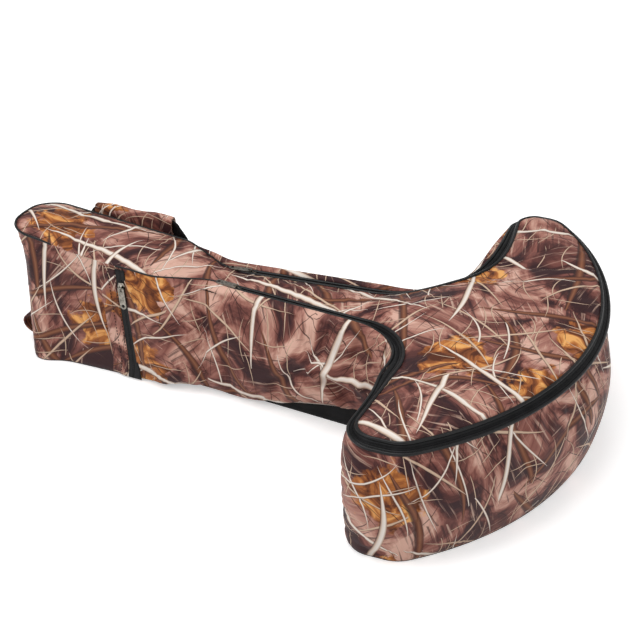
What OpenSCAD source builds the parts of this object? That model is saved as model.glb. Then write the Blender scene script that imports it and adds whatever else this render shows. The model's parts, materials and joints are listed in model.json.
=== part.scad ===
// T-shaped padded soft case with a narrow stem and a wide head with a curved front.
// A zip runs round the head and the front half of the stem, so that part of the top opens as a lid.
// Sizes are in millimetres. X runs along the stem towards the head, Y across it, and Z is up.

/* [Outline] */
// Length of the shell from the butt end to the front of the head
body_l = 960; // [860:10:1160]
// Width of the head over the two wing tips
head_w = 706; // [580:1:850]
// Length of the head from the rear edge of the wings to the front
head_l = 260; // [240:1:300]
// Width of the stem at the butt end
butt_w = 130; // [112:1:160]
// Width of the stem at its waist
waist_w = 82; // [78:1:100]
// Angle at which each side of the stem widens from the waist towards the head
flare_a = 5; // [3:0.5:7]
// Distance from the butt end to where the stem begins to narrow
taper_x = 266; // [262:1:268]
// Length of the stretch where the stem narrows
taper_l = 82; // [76:1:86]
// Radius of the corners of the butt end
butt_r = 45; // [36:1:54]
// Radius of the bends where the stem narrows
bend_r = 60; // [50:1:72]
// Radius of the inner corners between stem and wings
inner_r = 98; // [80:1:115]
// Radius of the rear corners of the wing tips
tip_r = 50; // [40:1:60]
// Radius of the front corners of the wing tips
nose_r = 60; // [45:1:72]
// Distance from the rear edge of the wings to the centre of the nose radius
nose_run = 72; // [62:1:86]

/* [Height] */
// Height of the rim and the lid above the floor
rim_h = 186; // [165:1:220]
// Height of the top at the butt end
butt_h = 223; // [200:1:262]

/* [Layers] */
// Thickness of the printed cloth
cloth_t = 1.2; // [1:0.1:1.6]
// Thickness of the foam padding
foam_t = 8; // [6:0.5:10]
// Thickness of the lining
lining_t = 0.8; // [0.6:0.1:1.2]

/* [Main zip] */
// Distance from the butt end to the rear ends of the zip
zip_end_x = 372; // [370:1:376]
// Distance from the butt end to the fold line of the lid
hinge_x = 434; // [430:1:450]
// Distance from the rear ends of the zip to the centre of a parked slider
park = 20; // [18:1:24]
// Distance from the lining to the side of a slider
zip_gap = 1.1; // [1:0.1:2]
// Visible width of the zip between the two bindings
zip_w = 23.3; // [20:0.1:25]
// Width of one zip tape beside its coil
tape_w = 12.5; // [11:0.1:13]
// Thickness of a zip tape
tape_t = 1.2; // [0.8:0.1:1.3]
// Width of one row of coil
coil_w = 2.5; // [2:0.1:3]
// Height of the coil
coil_h = 2.4; // [2:0.1:2.6]
// Gap between the two rows of coil
coil_gap = 1.2; // [1.1:0.1:1.6]
// Width of the bindings on both sides of the zip
binding_w = 2.5; // [2:0.1:3]
// Height of the bindings above the cloth
binding_h = 1.5; // [1:0.1:2]
// Distance that the rear piping stands out from the wall
piping_out = 2.2; // [1.5:0.1:3]
// Height of the rear piping
piping_h = 5; // [3:0.5:6]

/* [Sliders] */
// Length of a slider
slider_l = 18; // [16:1:22]
// Width of a slider at its mouth
slider_w = 13; // [11:1:15]
// Thickness of the slider's two plates
plate_t = 1; // [0.8:0.1:1.2]
// Clearance between the coil and the plates
plate_gap = 0.3; // [0.2:0.05:0.5]
// Height of the pull's pin above the middle of the zip
pin_z = 5.2; // [5:0.1:6]
// Radius of the pull's pin
pin_r = 1.5; // [1:0.05:1.6]
// Clearance between the pull's pin and its bore
pin_gap = 0.05; // [0.02:0.01:0.09]
// Length of a pull from its pin to its far end
pull_l = 36; // [28:1:44]
// Width of a pull
pull_w = 11; // [9:0.5:12]
// Thickness of a pull
pull_t = 1.6; // [1.2:0.1:2]
// Radius of the hole in the far end of a pull
pull_hole_r = 2.8; // [2:0.1:3.4]

/* [Side pocket] */
// Distance from the butt end to the middle of the pocket zip at its top
pocket_x = 211; // [200:1:216]
// Angle at which the pocket zip leans towards the head
pocket_lean = 5.5; // [0:0.5:6]
// How far the pocket stands out from the wall
pocket_out = 20; // [14:1:26]
// Height of the pocket's lower edge above the floor
pocket_z = 6; // [4:1:12]
// Height to which the lower edge climbs at the head end
pocket_climb = 26; // [10:1:34]
// Distance from the rim down to the pocket's upper edge
pocket_drop = 8; // [7:1:20]
// Width of one pocket zip tape beside its coil
pocket_tape_w = 6; // [5:0.5:8]
// Distance from the pocket's edges to the ends of its zip
pocket_zip_in = 16; // [15:1:20]
// Width of the sewn hem beside the pocket zip
hem_w = 34; // [20:1:40]

/* [Handle and loop] */
// Distance from the butt end to the middle of the handle
handle_x = 160; // [156:1:164]
// Distance between the two feet of the handle
handle_span = 176; // [160:2:180]
// Height of the lower bars of the handle rings
handle_z = 150; // [130:1:152]
// Distance from a ring's upper bar to the middle of the grip
handle_rise = 48; // [44:1:60]
// Width of the webbing
web_w = 22; // [20:1:24]
// Thickness of the webbing
web_t = 2; // [1.5:0.1:2.4]
// Radius of the rings' wire
ring_r = 2; // [1.6:0.1:2.2]
// Clearance between the webbing and the rings
ring_gap = 0.2; // [0.1:0.05:0.4]
// Length of the padded sleeve on the handle
sleeve_l = 140; // [110:2:146]
// Thickness of the padded sleeve
sleeve_t = 20; // [16:1:24]
// Height of the padded sleeve
sleeve_h = 36; // [32:1:44]
// Height of the hanging loop on the butt end
loop_h = 38; // [30:1:46]
// Distance that the hanging loop stands out
loop_out = 16; // [12:1:20]
// Width of the hanging loop
loop_w = 20; // [14:1:22]
// Height of the middle of the hanging loop
loop_z = 45; // [30:1:80]

/* [Hidden] */
$fn = 48;

// Colours
camo_brown = "#6b4f45";
black_cloth = "#1b1b1f";
foam_grey = "#55565a";
lining_black = "#26262a";
metal = "#c9c6c0";

// Plan of the outline, worked out from the driving sizes
wing_x = body_l - head_l;
nose_x = wing_x + nose_run;
waist_x = taper_x + taper_l;
taper_a = atan2((butt_w - waist_w) / 2, taper_l);
bend_run = bend_r * tan(taper_a / 2);
waist_n = 270 + (taper_a - flare_a) / 2;
waist_c = [waist_x, -waist_w / 2] + bend_r / cos((taper_a + flare_a) / 2) * [cos(waist_n), sin(waist_n)];
nose_back = body_l - nose_x;
nose_side = head_w / 2 - nose_r;
front_r = (nose_back^2 + nose_side^2 - nose_r^2) / (2 * (nose_back - nose_r));
front_x = body_l - front_r;
front_a = atan2(nose_side, nose_x - front_x);

// Between the waist and the inner corner the near side is a straight line that widens the stem
function flare_y(d, x) = d / cos(flare_a) - waist_w / 2 - (x - waist_x) * tan(flare_a);
inner_x = wing_x - inner_r;
flare_end = inner_x + inner_r * sin(flare_a);
inner_y = flare_y(0, flare_end) - inner_r * cos(flare_a);

// Levels and insets of the layers
slope_lead = 4;
slope_x = zip_end_x - slope_lead;
slope = (butt_h - rim_h) / slope_x;
floor_z = cloth_t + foam_t;
tape_drop = cloth_t + tape_t;
chain_z = rim_h - cloth_t - tape_t / 2;
foam_d = cloth_t + foam_t;
lining_d = foam_d + lining_t;
chain_d = lining_d + zip_gap + slider_w / 2;
rim_edge_d = chain_d - zip_w / 2;
lid_edge_d = chain_d + zip_w / 2;
pad_gap = 0.4;
lid_pad_d = chain_d + coil_gap / 2 + coil_w + tape_w + pad_gap;
tall = 2 * butt_h;
fold_gap = 0.15;

// Each arc is its centre x and y, radius, first and last angle of its outward normal, turn and step.
// A turn of 1 is a corner that sticks out, and -1 one that bends in. Together they go round the near half.
butt_arc = [butt_r, butt_r - butt_w / 2, butt_r, 180, 270, 1, 15];
taper_arc = [taper_x - bend_run, bend_r - butt_w / 2, bend_r, 270, 270 + taper_a, 1, 5];
waist_arc = [waist_c[0], waist_c[1], bend_r, 270 + taper_a, 270 - flare_a, -1, 5];
inner_arc = [inner_x, inner_y, inner_r, 270 - flare_a, 180, -1, 11.25];
tip_arc = [wing_x + tip_r, tip_r - head_w / 2, tip_r, 180, 270, 1, 15];
nose_arc = [nose_x, nose_r - head_w / 2, nose_r, 270, 360 - front_a, 1, 12];
front_arc = [front_x, 0, front_r, 360 - front_a, 360, 1, 6];

function reversed(list) = [for (i = [len(list) - 1 : -1 : 0]) list[i]];
function mirrored(list) = [for (p = list) [p[0], -p[1]]];
function tail(list) = [for (i = [1 : len(list) - 1]) list[i]];

// Points of an arc, moved in from the outline by the inset d
function arc(a, d) =
    let (steps = ceil(abs(a[4] - a[3]) / a[6]), r = a[5] > 0 ? a[2] - d : -a[2] - d)
    [for (i = [0 : steps])
        let (t = a[3] + (a[4] - a[3]) * i / steps)
        [a[0] + r * cos(t), a[1] + r * sin(t)]];

// The seam between the butt wall and the stem walls lies behind the pocket
seam_x = pocket_x + hem_w;

// Stretches of the near side at the inset d, each going towards the head
butt_turn = function (d) concat(reversed(mirrored(concat(arc(butt_arc, d), [[seam_x, d - butt_w / 2]]))),
                                arc(butt_arc, d), [[seam_x, d - butt_w / 2]]);
stem_side = function (d) concat([[seam_x, d - butt_w / 2]], arc(taper_arc, d), arc(waist_arc, d),
                                [arc(inner_arc, d)[0]]);
rim_side = function (d) [[zip_end_x, flare_y(d, zip_end_x)], arc(inner_arc, d)[0]];
shoulder = function (d) concat(arc(inner_arc, d), [arc(tip_arc, d)[0]]);
wing_tip = function (d) concat(arc(tip_arc, d), arc(nose_arc, d));
front_curve = function (d) concat(arc(front_arc, d), tail(mirrored(reversed(arc(front_arc, d)))));

// The head's half outline from the station x on, and the whole run from the near side to the far side
function head_half(d, x) = concat([[x, flare_y(d, x)]], arc(inner_arc, d), arc(tip_arc, d),
                                  arc(nose_arc, d), tail(arc(front_arc, d)));
function head_run(d, x) = concat(head_half(d, x), tail(mirrored(reversed(head_half(d, x)))));

// The stem's outline from the butt end to the station x
function stem_half(d, x) = concat(arc(butt_arc, d), arc(taper_arc, d), arc(waist_arc, d),
                                  [[x, flare_y(d, x)]]);
function stem_run(d, x) = concat(reversed(mirrored(stem_half(d, x))), stem_half(d, x));

// The whole outline
function outline(d) = concat(reversed(mirrored(stem_half(d, zip_end_x))), stem_half(d, zip_end_x),
                             head_run(d, hinge_x));

module band(path, d1, d2) {
    polygon(concat(path(d1), reversed(path(d2))));
}

module head_band(x, d1, d2) {
    polygon(concat(head_run(d1, x), reversed(head_run(d2, x))));
}

module far() {
    mirror([0, 1, 0]) children();
}

// A sheet seen from the side, which spans the full width
module side_profile(points) {
    rotate([90, 0, 0]) linear_extrude(height = 2 * head_w, center = true) polygon(points);
}

// Height of the top surface at the station x
function top_z(x) = rim_h + max(0, slope_x - x) * slope;

// Everything below the top surface, lowered by one drop behind the zip ends and another beyond them
module under_top(rear_drop, front_drop) {
    rear_x = -2 * loop_out;
    front = body_l + loop_out;
    side_profile([
        [rear_x, 0], [front, 0], [front, rim_h - front_drop], [zip_end_x, rim_h - front_drop],
        [zip_end_x, rim_h - rear_drop], [slope_x, rim_h - rear_drop], [rear_x, top_z(rear_x) - rear_drop]
    ]);
}

// A layer of the top, from one depth to another
module top_layer(upper, lower) {
    rear_x = -2 * loop_out;
    side_profile([
        [rear_x, top_z(rear_x) - lower], [slope_x, rim_h - lower], [body_l, rim_h - lower],
        [body_l, rim_h - upper], [slope_x, rim_h - upper], [rear_x, top_z(rear_x) - upper]
    ]);
}

// A wall of the outer cloth on one stretch of the outline
module wall_cloth(path) {
    intersection() {
        translate([0, 0, cloth_t]) linear_extrude(tall) band(path, 0, cloth_t);
        under_top(cloth_t, cloth_t);
    }
}

// The cloth folded over the top of a wall, up to the zip
module rim_fold(path) {
    translate([0, 0, rim_h - cloth_t]) linear_extrude(cloth_t) band(path, 0, rim_edge_d);
}

// The foam behind a wall of cloth
module wall_foam(path) {
    color(foam_grey) intersection() {
        translate([0, 0, floor_z]) linear_extrude(tall) band(path, cloth_t, foam_d);
        under_top(foam_d, tape_drop);
    }
}

module base_panel() {
    color(black_cloth) linear_extrude(cloth_t) polygon(outline(0));
}

module base_foam() {
    color(foam_grey) translate([0, 0, cloth_t]) linear_extrude(foam_t) polygon(outline(cloth_t));
}

// The pocket zip leans. Its pieces are drawn upright, with X = 0 at the middle of its coils.
pocket_top = top_z(pocket_x) - pocket_drop;

module along_pocket_zip() {
    translate([pocket_x, 0, pocket_top]) rotate([0, -pocket_lean, 0]) translate([0, 0, -pocket_top])
        children();
}

// The butt wall has a hem of doubled cloth where the pocket zip is sewn to it
module butt_panel() {
    hem_t = coil_h / 2 + plate_gap + plate_t + plate_gap - tape_t / 2;
    hem_end = -slider_w / 2 - plate_gap;
    hem_low = pocket_z + pocket_zip_in / 2;
    color(camo_brown) {
        wall_cloth(butt_turn);
        along_pocket_zip() translate([hem_end - hem_w, -butt_w / 2 - hem_t, hem_low])
            cube([hem_w, hem_t + cloth_t / 2, pocket_top - hem_low]);
    }
}

module stem_panel() {
    wall_cloth(stem_side);
    rim_fold(rim_side);
}

// Behind the pocket the near wall is plain black cloth
module near_stem_panel() {
    color(black_cloth) stem_panel();
}

module far_stem_panel() {
    color(camo_brown) far() stem_panel();
}

module shoulder_panel() {
    color(camo_brown) {
        wall_cloth(shoulder);
        rim_fold(shoulder);
    }
}

module tip_panel() {
    color(camo_brown) {
        wall_cloth(wing_tip);
        rim_fold(wing_tip);
    }
}

module front_panel() {
    color(camo_brown) {
        wall_cloth(front_curve);
        rim_fold(front_curve);
    }
}

// The fixed top reaches the sides behind the zip, and between the zip ends it stops at the tapes
module rear_top(side_d, zip_d, upper, lower) {
    intersection() {
        linear_extrude(tall) union() {
            polygon(stem_run(side_d, zip_end_x));
            polygon(stem_run(zip_d, hinge_x - fold_gap));
        }
        top_layer(upper, lower);
    }
}

module rear_top_panel() {
    color(camo_brown) rear_top(0, lid_edge_d, 0, cloth_t);
}

module rear_top_foam() {
    color(foam_grey) rear_top(cloth_t, lid_pad_d, cloth_t, foam_d);
}

module rear_top_lining() {
    color(lining_black) rear_top(foam_d, lid_pad_d, foam_d, lining_d);
}

// One tub of lining covers the floor and the walls
module body_lining() {
    color(lining_black) difference() {
        intersection() {
            translate([0, 0, floor_z]) linear_extrude(tall) polygon(outline(foam_d));
            under_top(lining_d, tape_drop);
        }
        translate([0, 0, floor_z + lining_t]) linear_extrude(tall) polygon(outline(lining_d));
    }
}

module rear_piping() {
    path = function (d) stem_run(d, zip_end_x);
    color(black_cloth) intersection() {
        linear_extrude(tall) band(path, -piping_out, 0);
        top_layer(0, piping_h);
    }
}

module rim_binding() {
    color(black_cloth) translate([0, 0, rim_h]) linear_extrude(binding_h)
        head_band(zip_end_x, rim_edge_d - binding_w, rim_edge_d);
}

// Half of a zip: a tape with its row of coil, on the outer side of the chain or on the inner side
module outer_stringer(x) {
    coil_d = chain_d - coil_gap / 2;
    translate([0, 0, chain_z - tape_t / 2]) linear_extrude(tape_t)
        head_band(x, coil_d - coil_w - tape_w, coil_d - coil_w / 2);
    translate([0, 0, chain_z - coil_h / 2]) linear_extrude(coil_h) head_band(x, coil_d - coil_w, coil_d);
}

module inner_stringer(x) {
    coil_d = chain_d + coil_gap / 2;
    translate([0, 0, chain_z - tape_t / 2]) linear_extrude(tape_t)
        head_band(x, coil_d + coil_w / 2, coil_d + coil_w + tape_w);
    translate([0, 0, chain_z - coil_h / 2]) linear_extrude(coil_h) head_band(x, coil_d, coil_d + coil_w);
}

module lower_stringer() {
    color(black_cloth) outer_stringer(zip_end_x);
}

module upper_stringer() {
    color(black_cloth) inner_stringer(hinge_x + fold_gap);
}

// The last piece of the lid's zip half is sewn to the fixed top, and the slider parks on it.
// This is a strip of it, from one inset to another.
module zip_end_strip(d1, d2) {
    x1 = zip_end_x;
    x2 = hinge_x - fold_gap;
    polygon([[x1, flare_y(d1, x1)], [x2, flare_y(d1, x2)], [x2, flare_y(d2, x2)], [x1, flare_y(d2, x1)]]);
}

module zip_end() {
    coil_d = chain_d + coil_gap / 2;
    color(black_cloth) {
        translate([0, 0, chain_z - tape_t / 2]) linear_extrude(tape_t)
            zip_end_strip(coil_d + coil_w / 2, coil_d + coil_w + tape_w);
        translate([0, 0, chain_z - coil_h / 2]) linear_extrude(coil_h) zip_end_strip(coil_d, coil_d + coil_w);
    }
}

// Flat layers of the lid at the inset d
module lid_layer(d, upper, lower) {
    translate([0, 0, rim_h - lower]) linear_extrude(lower - upper) polygon(head_run(d, hinge_x + fold_gap));
}

module lid_panel() {
    color(camo_brown) lid_layer(lid_edge_d, 0, cloth_t);
}

module lid_foam() {
    color(foam_grey) lid_layer(lid_pad_d, cloth_t, foam_d);
}

module lid_lining() {
    color(lining_black) lid_layer(lid_pad_d, foam_d, lining_d);
}

// The binding stops short of the fold line, so that it swings clear
module lid_binding() {
    fold_clear = 3 * binding_h;
    color(black_cloth) translate([0, 0, rim_h]) linear_extrude(binding_h)
        head_band(hinge_x + fold_clear, lid_edge_d, lid_edge_d + binding_w);
}

// A slider has two plates with turned-in sides, a post between the coils and a lug for the pull.
// Its zip runs along X, its front is +Z and the middle of the tapes is at Z = 0.
plate_in = coil_h / 2 + plate_gap;
plate_top = plate_in + plate_t;
lug_t = 2.4;
lug_r = pin_r + 1.3;
lug_gap = 0.3;
post_gap = 0.2;

module slider_plan() {
    half_l = slider_l / 2;
    half_w = slider_w / 2;
    neck = half_w * 0.65;
    neck_x = half_l * 0.3;
    cut = 1.5;
    near_edge = [[-half_l, cut - half_w], [cut - half_l, -half_w], [neck_x, -half_w], [half_l, -neck]];
    polygon(concat(near_edge, reversed(mirrored(near_edge))));
}

module slider() {
    side_t = 1;
    side_l = slider_l * 0.55;
    side_x = -slider_l * 0.15;
    side_in = tape_t / 2 + plate_gap;
    post_t = coil_gap - 2 * post_gap;
    post_l = slider_l * 0.3;
    lug_foot = 2 * lug_r;
    lug_neck = 0.8 * lug_r;
    lug_z = plate_in + plate_t / 2;
    color(metal) difference() {
        union() {
            translate([0, 0, plate_in]) linear_extrude(plate_t) slider_plan();
            translate([0, 0, -plate_top]) linear_extrude(plate_t) slider_plan();
            translate([-slider_l / 4 - post_l / 2, -post_t / 2, -plate_top])
                cube([post_l, post_t, 2 * plate_top]);
            for (side = [-1, 1], face = [-1, 1])
                translate([side_x, side * (slider_w - side_t) / 2,
                           face * (side_in + plate_top) / 2])
                    cube([side_l, side_t, plate_top - side_in], center = true);
            rotate([90, 0, 0]) linear_extrude(height = lug_t, center = true) {
                translate([0, pin_z]) circle(lug_r);
                polygon([[-lug_foot, lug_z], [lug_foot, lug_z], [lug_neck, pin_z], [-lug_neck, pin_z]]);
            }
        }
        translate([0, 0, pin_z]) rotate([90, 0, 0])
            cylinder(r = pin_r + pin_gap, h = 2 * slider_w, center = true);
    }
}

// A pull lies along -X from its pin. Its fork straddles the slider's lug and its far end has a hole.
module pull() {
    fork_in = lug_t / 2 + lug_gap;
    fork_deep = lug_r + 2;
    fork_end = pin_r;
    pin_inset = 1;
    end_r = pull_w / 2;
    color(metal) {
        translate([0, 0, pin_z - pull_t / 2]) linear_extrude(pull_t) difference() {
            union() {
                translate([end_r - pull_l, 0]) circle(end_r);
                translate([end_r - pull_l, -end_r]) square([pull_l - end_r + fork_end, pull_w]);
            }
            translate([-fork_deep, -fork_in]) square([2 * fork_deep, 2 * fork_in]);
            translate([end_r - pull_l, 0]) circle(pull_hole_r);
        }
        translate([0, 0, pin_z]) rotate([90, 0, 0])
            cylinder(r = pin_r, h = pull_w - 2 * pin_inset, center = true);
    }
}

module at_near_park() {
    x = zip_end_x + park;
    translate([x, flare_y(chain_d, x), chain_z]) rotate([0, 0, -flare_a]) children();
}

module at_pocket_park() {
    wall_off = plate_top + plate_gap;
    along_pocket_zip() translate([0, -butt_w / 2 - wall_off, pocket_top - pocket_zip_in - slider_l / 2])
        rotate([90, -90, 0]) children();
}

// The pocket is one bulging panel on the near wall. The stations along it follow the wall.
pocket_lap = 2;
pocket_start = pocket_x + coil_gap / 2 + coil_w + pocket_tape_w - pocket_lap;
pocket_flat_steps = 6;
pocket_end = inner_x;
flare_start = waist_arc[0] + bend_r * sin(flare_a);
pocket_rows = 12;
sew_gap = 0.2;
pocket_lift = plate_top + plate_gap + tape_t / 2 + sew_gap;
bend_clear = 8;
lip_share = 0.05;
swell_share = 0.1;

function spread(x1, x2, steps) = [for (i = [0 : steps]) x1 + (x2 - x1) * i / steps];
function pocket_stations(d) = concat(
    [for (x = spread(pocket_start, taper_arc[0] - bend_clear, pocket_flat_steps)) [x, d - butt_w / 2]],
    arc(taper_arc, d), arc(waist_arc, d),
    [for (x = spread(flare_start + bend_clear, pocket_end, 16))
        [x, flare_y(0, x)] + d * [sin(flare_a), cos(flare_a)]]);
function ease(t) = let (u = max(0, min(1, t))) u * u * (3 - 2 * u);

// How far the panel stands off the wall, at s along the pocket and t up it
function pocket_bulge(s, t) =
    let (edge = min(t, 1 - t),
         lip = min(1, edge / lip_share) * pocket_lift,
         sag = 1 - t / 2,
         crown = pocket_out * (1 - pow(abs(2 * t - 1), 5)) * sag * (1 - pow(s, 8)),
         swell = ease(s / swell_share))
    sew_gap + lip * (1 - swell) + crown * swell;

module pocket_panel() {
    wall = pocket_stations(0);
    outward = pocket_stations(-1);
    last = len(wall) - 1;
    run = wall[last][0] - wall[0][0];
    points = [for (skin = [0, cloth_t], i = [0 : last], j = [0 : pocket_rows])
        let (s = (wall[i][0] - wall[0][0]) / run,
             t = j / pocket_rows,
             off = pocket_bulge(s, t) + skin,
             low = pocket_z + pocket_climb * ease(2 * s - 1),
             top = top_z(wall[i][0]) - pocket_drop,
             z = low + (top - low) * t,
             lean = (pocket_top - z) * tan(pocket_lean) * max(0, 1 - i / pocket_flat_steps),
             p = wall[i] + (outward[i] - wall[i]) * off)
        [p[0] + lean, p[1], z]];
    count = (last + 1) * (pocket_rows + 1);
    at = function (skin, i, j) skin * count + i * (pocket_rows + 1) + j;
    color(camo_brown) polyhedron(points, concat(
        [for (i = [0 : last - 1], j = [0 : pocket_rows - 1], k = [0, 1])
            k == 0 ? [at(0, i, j), at(0, i + 1, j), at(0, i + 1, j + 1)]
                   : [at(0, i, j), at(0, i + 1, j + 1), at(0, i, j + 1)]],
        [for (i = [0 : last - 1], j = [0 : pocket_rows - 1], k = [0, 1])
            k == 0 ? [at(1, i, j), at(1, i + 1, j + 1), at(1, i + 1, j)]
                   : [at(1, i, j), at(1, i, j + 1), at(1, i + 1, j + 1)]],
        [for (i = [0 : last - 1], k = [0, 1])
            k == 0 ? [at(0, i, 0), at(1, i, 0), at(1, i + 1, 0)]
                   : [at(0, i, 0), at(1, i + 1, 0), at(0, i + 1, 0)]],
        [for (i = [0 : last - 1], k = [0, 1], j = [pocket_rows])
            k == 0 ? [at(0, i, j), at(1, i + 1, j), at(1, i, j)]
                   : [at(0, i, j), at(0, i + 1, j), at(1, i + 1, j)]],
        [for (j = [0 : pocket_rows - 1], k = [0, 1])
            k == 0 ? [at(0, 0, j), at(0, 0, j + 1), at(1, 0, j + 1)]
                   : [at(0, 0, j), at(1, 0, j + 1), at(1, 0, j)]],
        [for (j = [0 : pocket_rows - 1], k = [0, 1], i = [last])
            k == 0 ? [at(0, i, j), at(1, i, j + 1), at(0, i, j + 1)]
                   : [at(0, i, j), at(1, i, j), at(1, i, j + 1)]]
    ));
}

// Half of the pocket zip, on the head side of its chain
module pocket_stringer() {
    low = pocket_z + pocket_zip_in;
    high = pocket_top - pocket_zip_in;
    mid_y = -butt_w / 2 - plate_top - plate_gap;
    coil_x = coil_gap / 2;
    color(black_cloth) {
        translate([coil_x, mid_y - coil_h / 2, low]) cube([coil_w, coil_h, high - low]);
        translate([coil_x + coil_w / 2, mid_y - tape_t / 2, low])
            cube([coil_w / 2 + pocket_tape_w, tape_t, high - low]);
    }
}

module pocket_front_stringer() {
    along_pocket_zip() pocket_stringer();
}

module pocket_rear_stringer() {
    along_pocket_zip() mirror([1, 0, 0]) pocket_stringer();
}

// The handle is drawn with X along the wall, Y out from it and the lower ring bar at Z = 0
bar_y = 5;
pivot_y = 16;
pivot_z = 11;

module on_far_wall() {
    translate([handle_x, butt_w / 2, handle_z]) children();
}

module at_foot(side) {
    on_far_wall() translate([side * handle_span / 2, 0, 0]) children();
}

module x_bar(y, z, r, length) {
    translate([0, y, z]) rotate([0, 90, 0]) cylinder(r = r, h = length, center = true);
}

// A wire ring leans out from the wall: its lower bar is in the tab and its upper bar in the handle
module handle_ring() {
    side_x = web_w / 2 + ring_r;
    side_r = ring_r * 0.85;
    lean = atan2(pivot_y - bar_y, pivot_z);
    reach = norm([pivot_y - bar_y, pivot_z]);
    color(metal) {
        x_bar(bar_y, 0, ring_r, 2 * side_x + ring_r);
        x_bar(pivot_y, pivot_z, ring_r, 2 * side_x + ring_r);
        for (side = [-1, 1])
            translate([side * side_x, bar_y, 0]) rotate([-lean, 0, 0]) cylinder(r = side_r, h = reach);
    }
}

// Webbing turned round a ring bar
eye_r = ring_r + ring_gap;
eye_t = web_t * 0.75;

module web_eye(y, z) {
    difference() {
        x_bar(y, z, eye_r + eye_t, web_w);
        x_bar(y, z, eye_r, 2 * web_w);
    }
}

module handle_tab() {
    tab_l = 38;
    color(black_cloth) {
        web_eye(bar_y, 0);
        translate([-web_w / 2, 0, -tab_l]) cube([web_w, web_t, tab_l]);
    }
}

// Flat arch with round shoulders, drawn as seen from outside
function arch(half_w, top, r) = concat(
    [[-half_w, 0]], [for (t = [180 : -15 : 90]) [r - half_w + r * cos(t), top - r + r * sin(t)]],
    [for (t = [90 : -15 : 0]) [half_w - r + r * cos(t), top - r + r * sin(t)]], [[half_w, 0]]);

module handle_webbing() {
    foot_z = eye_r + eye_t / 3;
    bend = 6;
    outer = handle_span / 2 + web_w / 2;
    rise = handle_rise - foot_z;
    color(black_cloth) on_far_wall() {
        for (side = [-1, 1]) translate([side * handle_span / 2, 0, 0]) web_eye(pivot_y, pivot_z);
        translate([0, pivot_y + web_t / 2, pivot_z + foot_z]) rotate([90, 0, 0]) linear_extrude(web_t)
            polygon(concat(arch(outer, rise + web_w / 2, web_w + bend),
                           reversed(arch(outer - web_w, rise - web_w / 2, bend))));
    }
}

// The sleeve is a padded wrap with a flat slot for the webbing
module handle_sleeve() {
    r = sleeve_t / 2;
    half = sleeve_h / 2 - r;
    slot_gap = 0.2;
    rounded = concat([for (t = [0 : 15 : 180]) [r * cos(t), half + r * sin(t)]],
                     [for (t = [180 : 15 : 360]) [r * cos(t), -half + r * sin(t)]]);
    color(camo_brown) on_far_wall() translate([-sleeve_l / 2, pivot_y, pivot_z + handle_rise])
        rotate([90, 0, 90]) linear_extrude(sleeve_l) difference() {
            polygon(rounded);
            square([web_t + 2 * slot_gap, web_w + 2 * slot_gap], center = true);
        }
}

// A strip of cloth sewn to the butt end as a loop
module hang_loop() {
    strip_t = 2;
    half = loop_h / 2;
    rim = [for (t = [90 : 10 : 270]) [loop_out * cos(t), half * sin(t)]];
    inside = [for (t = [270 : -10 : 90]) [(loop_out - strip_t) * cos(t), (half - strip_t) * sin(t)]];
    flat_y = butt_r - butt_w / 2;
    color(camo_brown) translate([0, flat_y + loop_w, loop_z]) rotate([90, 0, 0])
        linear_extrude(loop_w) polygon(concat(rim, inside));
}

// The origin is under the middle of the whole case, on the floor
module centred() {
    translate([(loop_out - body_l) / 2, 0, 0]) children();
}

centred() base_panel();
centred() base_foam();
centred() butt_panel();
centred() near_stem_panel();
centred() far_stem_panel();
centred() shoulder_panel();  // near_shoulder_panel
centred() far() shoulder_panel();  // far_shoulder_panel
centred() tip_panel();  // near_tip_panel
centred() far() tip_panel();  // far_tip_panel
centred() front_panel();
centred() rear_top_panel();
centred() wall_foam(butt_turn);  // butt_foam
centred() wall_foam(stem_side);  // near_stem_foam
centred() far() wall_foam(stem_side);  // far_stem_foam
centred() wall_foam(shoulder);  // near_shoulder_foam
centred() far() wall_foam(shoulder);  // far_shoulder_foam
centred() wall_foam(wing_tip);  // near_tip_foam
centred() far() wall_foam(wing_tip);  // far_tip_foam
centred() wall_foam(front_curve);  // front_foam
centred() rear_top_foam();
centred() body_lining();
centred() rear_top_lining();
centred() rear_piping();
centred() rim_binding();
centred() lower_stringer();
centred() zip_end();  // near_zip_end
centred() far() zip_end();  // far_zip_end
centred() pocket_panel();
centred() pocket_rear_stringer();
centred() pocket_front_stringer();
centred() hang_loop();
centred() at_foot(-1) handle_tab();  // rear_handle_tab
centred() at_foot(1) handle_tab();  // front_handle_tab
centred() at_foot(-1) handle_ring();  // rear_handle_ring
centred() at_foot(1) handle_ring();  // front_handle_ring
centred() lid_panel();
centred() lid_foam();
centred() lid_lining();
centred() lid_binding();
centred() upper_stringer();
centred() handle_webbing();
centred() handle_sleeve();
centred() at_near_park() slider();  // near_slider
centred() at_near_park() pull();  // near_pull
centred() far() at_near_park() slider();  // far_slider
centred() far() at_near_park() pull();  // far_pull
centred() at_pocket_park() slider();  // pocket_slider
centred() at_pocket_park() pull();  // pocket_pull
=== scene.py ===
# %% [markdown]
# # A padded T-shaped soft case
# The case is sewn from printed cloth over foam: a narrow stem, a wide head with a curved front, a long
# zip round the head, a zipped pocket on the near side and a wrapped carry handle on the far side.
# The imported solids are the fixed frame. They give every size and place, and the meshes below stand for
# the soft ones, so nothing has to be fitted by eye.

# %% Load the frame
import json
import math
import bpy
import numpy as np
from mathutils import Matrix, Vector, bvhtree, geometry, kdtree, noise


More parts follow.
